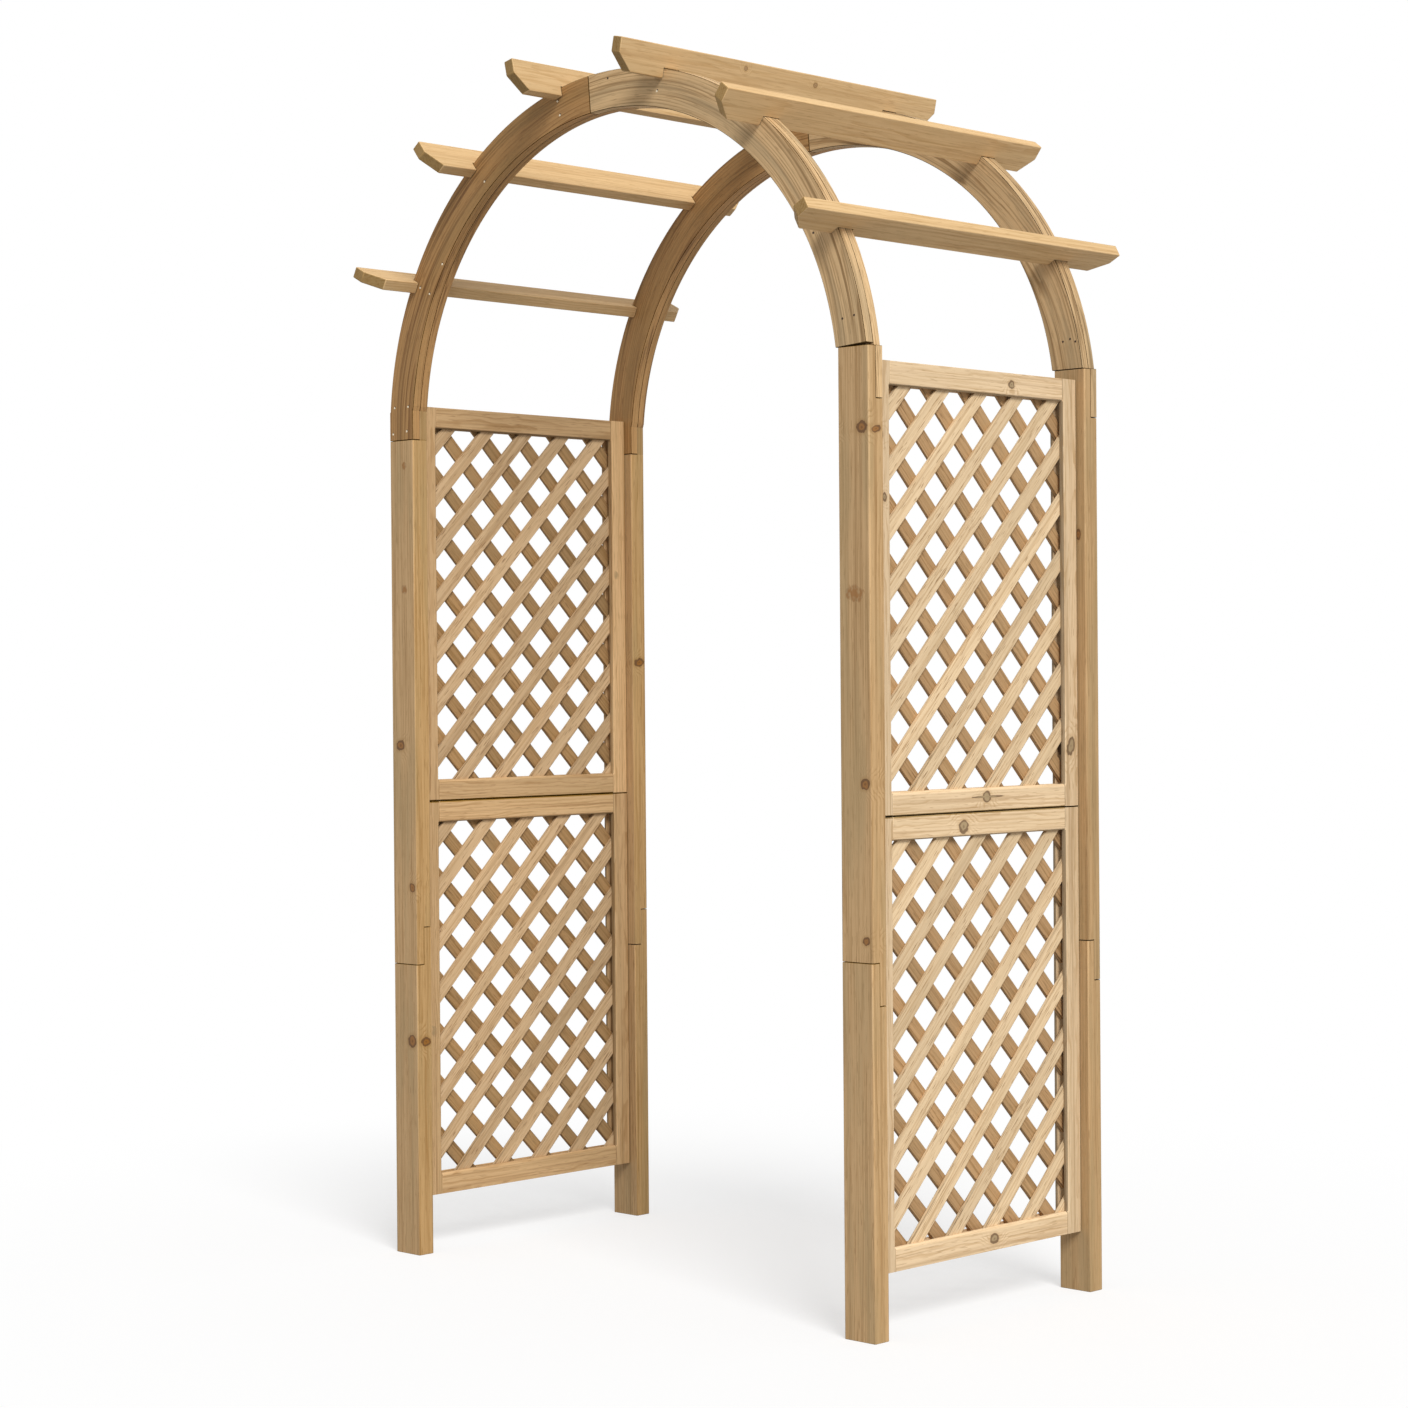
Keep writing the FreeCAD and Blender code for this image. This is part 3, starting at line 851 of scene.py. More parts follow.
@dataclass
class ArchedFrame:
    """One arched frame: four lengths of post, half-lapped, and four curved boards in two plies.

    Attributes:
        place: Front or rear.
        tones: Tone of each side's posts.
        knots: Knots of the posts, by node.
        curve_tones: Tone of each side's curved boards.
        curve_side_tones: How much lighter the edges of those boards are than their broad faces, as painted
            light.
        foot_slope: Rise of a curved board's foot across its width, by node: the wedge of an opened joint.
        lap_wear: How the edges of the posts' laps have worn.
        warmth: Warmth of the posts' sideways faces on each side, as painted light.
        butt_gap: Open joint where timbers meet end to end.
        tight_gap: Joint under a left aft curve, which hardly shows.
        post_round: Rounding of the posts' long edges.
        arris: Rounding of the arch's outer edges.
        joint_arris: Bevel of the edges in the joints.
        spin_end: Angle from the crown to the end of an uncut curved board, past the springing, in degrees.
        spin_steps: Facets along a curved board.
        heart_reach: Distance of the log's heart from a curved board, in mm.
        drift: Farthest that the grain of a curved board strays across it, in mm.
    """

    place: Place
    tones: dict[Side, float]
    knots: dict[str, tuple[Knot, ...]]
    curve_tones: dict[Side, float]
    curve_side_tones: dict[Side, float]
    foot_slope: dict[str, float] = field(default_factory=dict)
    lap_wear: WearAndPaintedLight = WearAndPaintedLight.LAP
    warmth: dict[Side, float] = field(default_factory=lambda: {Side.LEFT: 0.1, Side.RIGHT: 0.03})
    butt_gap: float = 1.0 * MM
    tight_gap: float = 0.05 * MM
    post_round: float = 3.0 * MM
    arris: float = 1.6 * MM
    joint_arris: float = 0.7 * MM
    spin_end: float = 94.0
    spin_steps: int = 84
    heart_reach: tuple[float, float] = (25.0, 60.0)
    drift: float = 22.0

    def build(self, post_wood: Material, arch_woods: dict[Side, Material]) -> None:
        """Builds the posts and the curved boards.

        Args:
            post_wood: Material of the posts.
            arch_woods: Material of the curved boards on each side.
        """
        for side in Side:
            self._posts(side, post_wood)
            for ply in Ply:
                self._curve(side, ply, arch_woods[side])

    def _node(self, side: Side, part: str) -> str:
        """Gives the node of a part of this frame."""
        return f"{self.place.value}_{side.value}_{part}"

    def _steps(self, low: float, high: float, side: Side) -> tuple[float, float]:
        """Gives the heights of a lap's steps in the fore and the aft half of a post."""
        return (low, high) if side is Side.LEFT else (high, low)

    def _feet(self, side: Side) -> list[float]:
        """Gives the heights of the feet of a side's curved boards."""
        return [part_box(self._node(side, f"{ply.value}_curve"))[0].z for ply in Ply]

    def _posts(self, side: Side, wood: Material) -> None:
        """Builds the two lengths of a post, half-lapped on each other and under the arch.

        Args:
            side: Side of the walkway.
            wood: Material.
        """
        lower, upper = self._node(side, "lower_post"), self._node(side, "upper_post")
        low_corner, lap_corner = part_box(lower)
        lap_foot, top = (corner.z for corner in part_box(upper))
        seam = min(self._feet(side))
        front, rear = low_corner.y, lap_corner.y
        middle = (front + rear) / 2
        fore, aft = self._steps(lap_foot - self.butt_gap, lap_corner.z, side)
        profile = ((front, 0), (rear, 0), (rear, aft), (middle, aft), (middle, fore), (front, fore))
        self._post(lower, side, profile, wood)
        fore, aft = self._steps(lap_foot, lap_corner.z + self.butt_gap, side)
        fore_top, aft_top = self._steps(seam - self.butt_gap, top, side)
        profile = (
            (front, fore), (middle, fore), (middle, aft), (rear, aft),
            (rear, aft_top), (middle, aft_top), (middle, fore_top), (front, fore_top),
        )
        self._post(upper, side, profile, wood, seam if side is Side.LEFT else top)

    def _post(
        self,
        node: str,
        side: Side,
        profile: Sequence[tuple[float, float]],
        wood: Material,
        tongue: float = math.inf,
    ) -> None:
        """Builds a length of post from its stepped side view.

        Args:
            node: Node that it stands for.
            side: Side of the walkway.
            profile: Corners of the side view, as Y and Z.
            wood: Material.
            tongue: Height where a tongue starts that has browned with the arch.
        """
        low_corner, high_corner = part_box(node)
        outline = [Vector((low_corner.x, y, z)) for y, z in profile]
        bm = prism(outline, X_AXIS * (high_corner.x - low_corner.x))

        def outer_corner(edge: BMEdge) -> bool:
            """Says whether an edge is one of the post's four long corners."""
            on_face = min(abs(edge.verts[0].co.y - y) for y in (low_corner.y, high_corner.y)) < TOUCH
            return on_face and runs_along(Z_AXIS)(edge)

        def at_lap(edge: BMEdge) -> bool:
            """Says whether an edge is sharp and not in the tight joint under a left aft curve.

            Args:
                edge: Edge of the post.

            Returns:
                Whether its bevel shows.
            """
            at_top = all(abs(vert.co.z - high_corner.z) < TOUCH for vert in edge.verts)
            tight = side is Side.LEFT and at_top and high_corner.z > SPRINGING
            return is_sharp(edge) and not tight

        # The long corners get a painted highlight
        ease(bm, outer_corner, self.post_round, segments=4)
        ease(bm, at_lap, self.joint_arris, segments=1, wear_and_light=self.lap_wear)
        if tongue < high_corner.z:
            self._tan_tongue(bm, tongue)
        grain = StraightGrain((low_corner + high_corner) / 2, Z_AXIS, X_AXIS)
        Board(node, grain, self.tones[side], self.knots.get(node, ()), self.warmth[side]).stamp(bm)
        publish(bm, f"{node}_timber", wood, [node])

    def _tan_tongue(self, bm: BMesh, foot: float) -> None:
        """Browns the tongue of a post, down to a dark line level with the foot of the other ply.

        Args:
            bm: Mesh of the post.
            foot: Height where the tongue starts.
        """
        for height, wear_and_light in ((foot - self.butt_gap, self.lap_wear), (foot, WearAndPaintedLight.TANNED)):
            divide(bm, Z_AXIS * height, Z_AXIS)
            mark(bm, lambda face: face.calc_center_median().z > height, wear_and_light)

    def _curve(self, side: Side, ply: Ply, wood: Material) -> None:
        """Builds a curved board: an arc down to the shoulder of the lap, and a straight tongue below it.

        On the right the shoulder shows as a seam, and on the left the tongue runs on without one.

        Args:
            side: Side of the walkway.
            ply: Fore or aft.
            wood: Material.
        """
        node = self._node(side, f"{ply.value}_curve")
        low_corner, high_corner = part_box(node)
        post_low, post_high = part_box(self._node(side, "upper_post"))
        outer = max(abs(post_low.x), abs(post_high.x))
        inner = outer - (post_high.x - post_low.x)
        centre = Vector((0, (low_corner.y + high_corner.y) / 2, SPRINGING))
        reach = low_corner.x if side is Side.RIGHT else -high_corner.x
        crown = math.asin(reach / (outer if reach < 0 else inner))
        foot = low_corner.z
        shoulder = post_high.z + self.tight_gap if side is Side.LEFT else max(self._feet(side))
        thickness = high_corner.y - low_corner.y
        bm = self._arc(inner, outer, thickness, centre, crown)
        slope = self.foot_slope.get(node, 0.0)
        saw(bm, Vector((inner, 0, shoulder)), Vector((slope, 0, -1)).normalized())
        if side is Side.LEFT:
            self._meet_post(bm, inner, shoulder)
        if shoulder - foot > self.butt_gap:
            size = Matrix.Diagonal((outer - inner, thickness, shoulder - foot, 1))
            middle = Matrix.Translation(((inner + outer) / 2, centre.y, (shoulder + foot) / 2))
            bmesh.ops.create_cube(bm, size=1.0, matrix=middle @ size)
        if side is Side.LEFT:
            bmesh.ops.scale(bm, vec=(-1, 1, 1), verts=bm.verts)
        bmesh.ops.recalc_face_normals(bm, faces=bm.faces)
        chance = random.Random(f"{SEED} drift {node}")
        grain = CurvedGrain(centre, (inner + outer) / 2, chance.uniform(-self.drift, self.drift) * MM)
        exposed = low_corner.y if ply is Ply.FORE else high_corner.y

        def outer_edge(edge: BMEdge) -> bool:
            """Says whether an edge is a long one of the face that shows.

            Args:
                edge: Edge of the board.

            Returns:
                Whether it is.
            """
            start, end = (vert.co for vert in edge.verts)
            run = abs((end - start).normalized().dot(grain.direction((start + end) / 2)))
            return run > NEARLY_PARALLEL and abs(start.y - exposed) < TOUCH and is_sharp(edge)

        def at_seam(edge: BMEdge) -> bool:
            """Says whether an edge is sharp and not where a left board runs on into its tongue."""
            at_shoulder = all(abs(vert.co.z - shoulder) < TOUCH for vert in edge.verts)
            return is_sharp(edge) and not (side is Side.LEFT and at_shoulder)

        # The outer edges get a painted highlight
        ease(bm, outer_edge, self.arris)
        ease(bm, at_seam, self.joint_arris, segments=1, wear_and_light=WearAndPaintedLight.JOINT)
        tone, side_painted_light = self.curve_tones[side], self.curve_side_tones[side]
        Board(node, grain, tone, side_painted_light=side_painted_light, heart_reach=self.heart_reach).stamp(bm)
        publish(bm, f"{node}_board", wood, [node])

    def _meet_post(self, bm: BMesh, inner: float, shoulder: float) -> None:
        """Draws the inner edge of a board's foot back to the post, so that no ledge shows there.

        Args:
            bm: Mesh of the board, on the right side.
            inner: Distance of the post's inner face from the middle of the walkway.
            shoulder: Height of the foot.
        """
        for vert in bm.verts:
            if abs(vert.co.z - shoulder) < TOUCH and vert.co.x < inner:
                vert.co.x = inner

    def _arc(self, inner: float, outer: float, thickness: float, centre: Vector, crown: float) -> BMesh:
        """Spins the section of a curved board from the crown seam to below the springing.

        Args:
            inner: Inner radius.
            outer: Outer radius.
            thickness: Thickness of the board.
            centre: Centre of the arch, at the middle of the board's thickness.
            crown: Angle of the crown seam.

        Returns:
            The board of the right side.
        """
        bm = bmesh.new()
        made = bmesh.ops.create_grid(
            bm,
            x_segments=1,
            y_segments=1,
            size=0.5,
            matrix=Matrix.Translation(centre)
            @ Matrix.Rotation(crown, 4, "Y")
            @ Matrix.Translation((0, 0, (inner + outer) / 2))
            @ Matrix.Rotation(math.radians(90), 4, "Y")
            @ Matrix.Diagonal((outer - inner, thickness, 1, 1)),
        )
        section = [*bm.faces, *bm.edges, *made["verts"]]
        turn = math.radians(self.spin_end) - crown
        bmesh.ops.spin(bm, geom=section, cent=centre, axis=Y_AXIS, angle=turn, steps=self.spin_steps)
        bmesh.ops.recalc_face_normals(bm, faces=bm.faces)
        return bm


@dataclass
class Rails:
    """The six rails over the arch, notched over both frames.

    Attributes:
        knots: Knots of the rails, by node.
        names: Rails from the left to the right.
        tones: Tone of each rail.
        step: Angle between neighbours in degrees.
        height: Depth of a rail away from the centre of the arch.
        thickness: Thickness of a rail.
        notch: Depth of the notches.
        end_square: Square part of an end.
        end_bevel: Length of the sloping cut under an end.
        fit: Room round the frames in the notches.
        arris: Rounding of the edges.
        joint_arris: Bevel of the edges of the notches.
    """

    knots: dict[str, tuple[Knot, ...]]
    names: Sequence[str] = ("left_low", "left_mid", "left_top", "right_top", "right_mid", "right_low")
    tones: Sequence[float] = (-0.05, 0.02, -0.02, -0.08, 0.1, 0.03)
    step: float = 25.0
    height: float = 64 * MM
    thickness: float = 24 * MM
    notch: float = 20 * MM
    end_square: float = 30 * MM
    end_bevel: float = 36 * MM
    fit: float = 0.3 * MM
    arris: float = 2.0 * MM
    joint_arris: float = 1.2 * MM

    def build(self, wood: Material) -> None:
        """Builds every rail.

        Args:
            wood: Material of the rails.
        """
        for number, (name, tone) in enumerate(zip(self.names, self.tones)):
            angle = math.radians(self.step * (number - (len(self.names) - 1) / 2))
            self._rail(f"rail_{name}", angle, tone, wood)

    def _rail(self, node: str, angle: float, tone: float, wood: Material) -> None:
        """Builds a rail at the crown and turns it about the centre of the arch.

        Args:
            node: Node that it stands for.
            angle: Angle from the crown, towards the right.
            tone: Tone of the board.
            wood: Material.
        """
        post_low, post_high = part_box("rear_right_upper_post")
        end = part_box(node)[1].y
        seat = post_high.x + self.fit
        under = seat - self.notch
        top = under + self.height
        half = (
            (post_low.y - self.fit, under),
            (post_low.y - self.fit, seat),
            (post_high.y + self.fit, seat),
            (post_high.y + self.fit, under),
            (end - self.end_bevel, under),
            (end, top - self.end_square),
            (end, top),
        )
        profile = [*half, *((-y, r) for y, r in reversed(half))]
        bm = prism([Vector((-self.thickness / 2, y, r)) for y, r in profile], X_AXIS * self.thickness)

        def in_notch(edge: BMEdge) -> bool:
            """Says whether an edge belongs to a notch over a frame.

            Args:
                edge: Edge of the rail.

            Returns:
                Whether it does.
            """
            start, end = (vert.co for vert in edge.verts)
            low = max(start.z, end.z) < seat + self.fit
            inside = max(abs(start.y), abs(end.y)) < post_high.y + 2 * self.fit
            return is_sharp(edge) and low and inside and start.y * end.y > 0

        def beneath(face: BMFace) -> bool:
            """Says whether a face looks down from the rail's underside."""
            return face.normal.z < -NEARLY_PARALLEL and face.calc_center_median().z < seat - self.fit

        # The edges outside the notches get a painted highlight
        ease(bm, lambda edge: is_sharp(edge) and not in_notch(edge), self.arris)
        ease(bm, in_notch, self.joint_arris, segments=1, wear_and_light=WearAndPaintedLight.JOINT)
        mark(bm, beneath, WearAndPaintedLight.SAWN)
        centre = Vector((0, 0, SPRINGING))
        turn = Matrix.Translation(centre) @ Matrix.Rotation(angle, 4, "Y")
        bmesh.ops.transform(bm, matrix=turn, verts=bm.verts)
        outwards = Vector((math.sin(angle), 0, math.cos(angle)))
        middle = centre + outwards * (under + self.height / 2)
        Board(node, StraightGrain(middle, Y_AXIS, outwards), tone, self.knots.get(node, ())).stamp(bm)
        publish(bm, f"{node}_board", wood, [node])


@dataclass
class LatticePanel:
    """A framed lattice panel between the two posts of a side.

    Attributes:
        side: Side of the walkway.
        level: Lower or upper.
        knots: Knots of the frame members, by node.
        tones: Tone of the frame members that differ from the finish, by node.
        groove_depth: Depth of the groove that holds the slats.
        groove_room: Room beside the slats in the groove.
        inner_round: Rounding of the members' inner edges.
        arris: Rounding of the other edges.
        joint_arris: Bevel of the edges in the joints.
        seam_reach: How far the dark joint and the painted shade in the gap between the panels reach.
        seam_round: Rounding of the edges at that seam and at the rear posts.
        slat_width: Width of a slat.
        slat_pitch: Centre to centre of neighbouring slats.
        slat_gap: Least gap that parts one slat from the next.
        slat_arris: Rounding of a slat's edges.
        slat_tone: How much a slat can be lighter or darker than the finish.
    """

    side: Side
    level: Level
    knots: dict[str, tuple[Knot, ...]]
    tones: dict[str, float]
    groove_depth: float = 10 * MM
    groove_room: float = 0.1 * MM
    inner_round: float = 6 * MM
    arris: float = 1.2 * MM
    joint_arris: float = 0.9 * MM
    seam_reach: float = 2.0 * MM
    seam_round: float = 2.5 * MM
    slat_width: float = 29.5 * MM
    slat_pitch: float = 79.5 * MM
    slat_gap: float = 5 * MM
    slat_arris: float = 1.5 * MM
    slat_tone: float = 0.08

    def build(self, frame_wood: Material, slat_woods: dict[Lean, Material]) -> None:
        """Builds the four members of the frame and the two layers of slats.

        Args:
            frame_wood: Material of the frame members.
            slat_woods: Material of each layer of slats.
        """
        for part, along, inward in (
            ("front_stile", Z_AXIS, Y_AXIS),
            ("rear_stile", Z_AXIS, -Y_AXIS),
            ("bottom_rail", Y_AXIS, Z_AXIS),
            ("top_rail", Y_AXIS, -Z_AXIS),
        ):
            self._member(part, along, inward, frame_wood)
        for lean, wood in slat_woods.items():
            self._slats(lean, wood)

    def _node(self, part: str) -> str:
        """Gives the node of a part of this panel."""
        return f"{self.side.value}_{self.level.value}_panel_{part}"

    def _window(self) -> tuple[Vector, Vector]:
        """Measures the opening between the members.

        Returns:
            Its lowest and its highest corner.
        """
        low = Vector((0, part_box(self._node("front_stile"))[1].y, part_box(self._node("bottom_rail"))[1].z))
        high = Vector((0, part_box(self._node("rear_stile"))[0].y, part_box(self._node("top_rail"))[0].z))
        return low, high

    def _member(self, part: str, along: Vector, inward: Vector, wood: Material) -> None:
        """Builds a frame member: a grooved section, swept along, with its inner edges rounded.

        Args:
            part: Name of the member.
            along: Direction of the member.
            inward: Direction from its outer edge to the opening.
            wood: Material.
        """
        node = self._node(part)
        low_corner, high_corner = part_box(node)
        middle = (low_corner + high_corner) / 2
        size = high_corner - low_corner
        window_low, window_high = self._window()
        length = size.z if along is Z_AXIS else window_high.y - window_low.y
        width = abs(size.dot(inward))
        half = size.x / 2
        slat_low, slat_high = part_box(self._node("rising_slats"))
        lip = (slat_high.x - slat_low.x) + self.groove_room
        corner = middle - inward * width / 2 - along * length / 2
        floor = width - self.groove_depth
        section = (
            (-half, 0), (half, 0), (half, width), (lip, width),
            (lip, floor), (-lip, floor), (-lip, width), (-half, width),
        )
        bm = prism([corner + X_AXIS * x + inward * depth for x, depth in section], along * length)
        for height in (window_low, window_high) if along is Z_AXIS else ():
            divide(bm, height, Z_AXIS)
        outer_edge = corner.dot(inward)
        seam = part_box(f"{self.side.value}_upper_panel_bottom_rail")[0].z

        def beside_opening(edge: BMEdge) -> bool:
            """Says whether an edge is a long outer edge beside the opening.

            Args:
                edge: Edge of the member.

            Returns:
                Whether it is.
            """
            place = (edge.verts[0].co + edge.verts[1].co) / 2
            at_side = abs(abs(place.x - middle.x) - half) < TOUCH
            in_window = along is Y_AXIS or window_low.z < place.z < window_high.z
            at_opening = abs(place.dot(inward) - outer_edge - width) < TOUCH
            return at_side and in_window and at_opening and runs_along(along)(edge)

        def at_rear_post(edge: BMEdge) -> bool:
            """Says whether an edge is a long one of a rear stile, where it meets the post."""
            behind = abs(edge.verts[0].co.dot(inward) - outer_edge) < TOUCH
            return inward == -Y_AXIS and behind and runs_along(along)(edge)

        def at_seam(item: BMEdge | BMFace) -> bool:
            """Says whether an edge or a face lies between the two panels of the side."""
            return all(abs(vert.co.z - seam) < self.seam_reach for vert in item.verts)

        def along_seam(edge: BMEdge) -> bool:
            """Says whether an edge runs along the seam between the two panels."""
            return at_seam(edge) and runs_along(Y_AXIS)(edge)

        def in_joint(edge: BMEdge) -> bool:
            """Says whether an edge lies between the two panels, or in a crosspiece's joint with a stile."""
            at_stile = along is Y_AXIS and not runs_along(along)(edge)
            return is_sharp(edge) and (at_seam(edge) or at_stile)

        # The inner edges get a painted highlight
        ease(bm, beside_opening, self.inner_round, segments=5)
        # Painted shade: the rear stile's edges at the post are darkened for the shade in that recess
        ease(bm, at_rear_post, self.seam_round, wear_and_light=WearAndPaintedLight.LAP)
        ease(bm, along_seam, self.seam_round, segments=3, wear_and_light=WearAndPaintedLight.LAP)
        ease(bm, in_joint, self.joint_arris, segments=1, wear_and_light=WearAndPaintedLight.JOINT)
        # The other edges get a painted highlight
        ease(bm, is_sharp, self.arris)
        # Painted shade on the faces that look into the opening; the bottom rail's look up and are left out
        if inward is not Z_AXIS:
            mark(bm, lambda face: face.normal.dot(inward) > FACING, WearAndPaintedLight.STAINED)
        # Painted shade: the faces in the gap between the panels are darkened like a joint
        mark(bm, at_seam, WearAndPaintedLight.JOINT)
        grain = StraightGrain(middle, along, inward)
        Board(node, grain, self.tones.get(node, 0.0), self.knots.get(node, ())).stamp(bm)
        publish(bm, f"{node}_timber", wood, [node])

    def _slats(self, lean: Lean, wood: Material) -> None:
        """Builds a layer of slats, each sawn to the floor of the grooves.

        Args:
            lean: How the slats run.
            wood: Material.
        """
        node = self._node(f"{lean.value}_slats")
        layer_low, layer_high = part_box(node)
        window_low, window_high = self._window()
        centre = (window_low + window_high) / 2
        centre.x = (layer_low.x + layer_high.x) / 2
        along = Vector((0, 1, lean.sign)).normalized()
        aside = Vector((0, -lean.sign, 1)).normalized()
        size = window_high - window_low
        reach = (size.y + size.z) / 2 / math.sqrt(2)
        first = self._first_slat(node, centre, aside, reach)
        layer = bmesh.new()
        chance = random.Random(f"{SEED} {node}")
        number = 0
        while first + number * self.slat_pitch <= reach:
            place = centre + aside * (first + number * self.slat_pitch)
            bm = self._slat(place, along, aside, layer_high.x - layer_low.x, size.y + size.z)
            for corner, sign in ((layer_low, -1), (layer_high, 1)):
                for axis in (Y_AXIS, Z_AXIS):
                    saw(bm, corner, sign * axis)
            tone = chance.uniform(-self.slat_tone, self.slat_tone)
            Board(f"{node} {number}", StraightGrain(place, along, aside), tone).stamp(bm)
            single = bpy.data.meshes.new("slat")
            bm.to_mesh(single)
            bm.free()
            layer.from_mesh(single)
            bpy.data.meshes.remove(single)
            number += 1
        publish(layer, f"{node}_layer", wood, [node])

    def _first_slat(self, node: str, centre: Vector, aside: Vector, reach: float) -> float:
        """Finds the lowest slat of a layer from the node's own solids.

        Args:
            node: Node of the layer.
            centre: Middle of the opening.
            aside: Direction in which the slats follow each other.
            reach: Farthest that a slat's middle line may lie from the centre.

        Returns:
            Offset of the lowest slat from the centre.
        """
        offsets = sorted((vert.co - centre).dot(aside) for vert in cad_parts[node].data.vertices)
        edges = [offsets[0]]
        for offset in offsets:
            if offset - edges[-1] > self.slat_width + self.slat_gap:
                edges.append(offset)
        full_slat = edges[len(edges) // 2] + self.slat_width / 2
        return full_slat - math.floor((full_slat + reach) / self.slat_pitch) * self.slat_pitch

    def _slat(self, place: Vector, along: Vector, aside: Vector, thickness: float, length: float) -> BMesh:
        """Builds an uncut slat.

        Args:
            place: Middle of the slat.
            along: Direction of the slat.
            aside: Direction of its width.
            thickness: Thickness.
            length: Length before it is sawn.

        Returns:
            The slat's mesh.
        """
        bm = bmesh.new()
        turned = Matrix((X_AXIS, along, aside)).transposed().to_4x4()
        stretched = Matrix.Diagonal((thickness, length, self.slat_width, 1))
        bmesh.ops.create_cube(bm, size=1.0, matrix=Matrix.Translation(place) @ turned @ stretched)
        bmesh.ops.recalc_face_normals(bm, faces=bm.faces)
        ease(bm, runs_along(along), self.slat_arris, wear_and_light=WearAndPaintedLight.SAWN)
        mark(bm, lambda face: abs(face.normal.dot(aside)) > FACING, WearAndPaintedLight.SAWN)
        return bm


@dataclass
class Nails:
    """The nails that show in the laps and seams.

    Attributes:
        bright: Bright heads, as node and offsets in mm across from its outer edge and up from its foot.
        dull: Dull heads, given in the same way.
        bright_on_arch: Bright heads in the front arch, as degrees from the crown and mm from its edge.
        dull_on_arch: Dull heads there.
        head: Radius of a head.
        taper: Radius of a head's outer face, as a share of the head's radius.
        facets: Facets round a head.
        proud: How far a head stands out of the wood.
        painted_shadow_offset: Offset of a painted shadow disc beside each bright head, the shade of the hole
            that it sits in.
    """

    bright: Sequence[tuple[str, float, float]] = (
        ("front_left_fore_curve", 17, 70), ("front_left_fore_curve", 61, 70),
        ("front_left_fore_curve", 11, 14), ("front_left_fore_curve", 56, 18),
    )
    dull: Sequence[tuple[str, float, float]] = (
        ("front_right_fore_curve", 58, 52), ("front_right_fore_curve", 29, 56),
        ("rear_right_fore_curve", 48, 56), ("rear_right_fore_curve", 30, 60),
        ("rear_right_fore_curve", 17, 54),
    )
    bright_on_arch: Sequence[tuple[float, float]] = (
        (-13.0, 24), (-13.0, 54), (12.6, 45), (-36.5, 54), (-55.8, 65), (-62.5, 25), (-62.5, 59),
    )
    dull_on_arch: Sequence[tuple[float, float]] = ((0.0, 15), (61.6, 54))
    head: float = 2.6 * MM
    taper: float = 0.8
    facets: int = 16
    proud: float = 0.4 * MM
    painted_shadow_offset: Vector = field(default_factory=lambda: Vector((1.6 * MM, 0.3 * MM, 1.6 * MM)))

    def build(self, bright_steel: Material, dull_steel_and_painted_shadow: Material) -> None:
        """Builds the bright and the dull nails, and painted shadows beside the bright heads.

        Args:
            bright_steel: Material of the bright heads.
            dull_steel_and_painted_shadow: Material of the dull heads and of the painted shadows.
        """
        bright, dull = (
            [*(self._at_foot(*nail) for nail in low), *(self._at_angle(*nail) for nail in high)]
            for low, high in ((self.bright, self.bright_on_arch), (self.dull, self.dull_on_arch))
        )
        # Painted shadow: a dark disc beside each bright head, where its hole is shaded
        dull += [place + self.painted_shadow_offset for place in bright]
        publish(self._heads(bright), "bright_nails", bright_steel)
        publish(self._heads(dull), "dull_nails_and_painted_shadows", dull_steel_and_painted_shadow)

    def _at_foot(self, node: str, inset: float, rise: float) -> Vector:
        """Gives a place on the front face of a curved board near its foot.

        Args:
            node: Node of the board.
            inset: Distance from the board's outer edge in mm.
            rise: Height above its foot in mm.

        Returns:
            The place.
        """
        low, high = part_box(node)
        outer, inwards = (low.x, 1) if abs(low.x) > abs(high.x) else (high.x, -1)
        return Vector((outer + inwards * inset * MM, low.y, low.z + rise * MM))

    def _at_angle(self, degrees: float, inset: float) -> Vector:
        """Gives a place on the front face of the front arch.

        Args:
            degrees: Angle from the crown, towards the right.
            inset: Distance from the outer edge in mm.

        Returns:
            The place.
        """
        low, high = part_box("front_right_fore_curve")
        outer = high.x
        radius = outer - inset * MM
        angle = math.radians(degrees)
        return Vector((radius * math.sin(angle), low.y, high.z - outer + radius * math.cos(angle)))

    def _heads(self, places: Sequence[Vector]) -> BMesh:
        """Builds round nail heads that face the front.

        Args:
            places: Points on the wood.

        Returns:
            The heads in one mesh.
        """
        bm = bmesh.new()
        for place in places:
            bmesh.ops.create_cone(
                bm,
                cap_ends=True,
                segments=self.facets,
                radius1=self.head,
                radius2=self.head * self.taper,
                depth=2 * self.proud,
                matrix=Matrix.Translation(place) @ Matrix.Rotation(math.radians(90), 4, "X"),
            )
        return bm


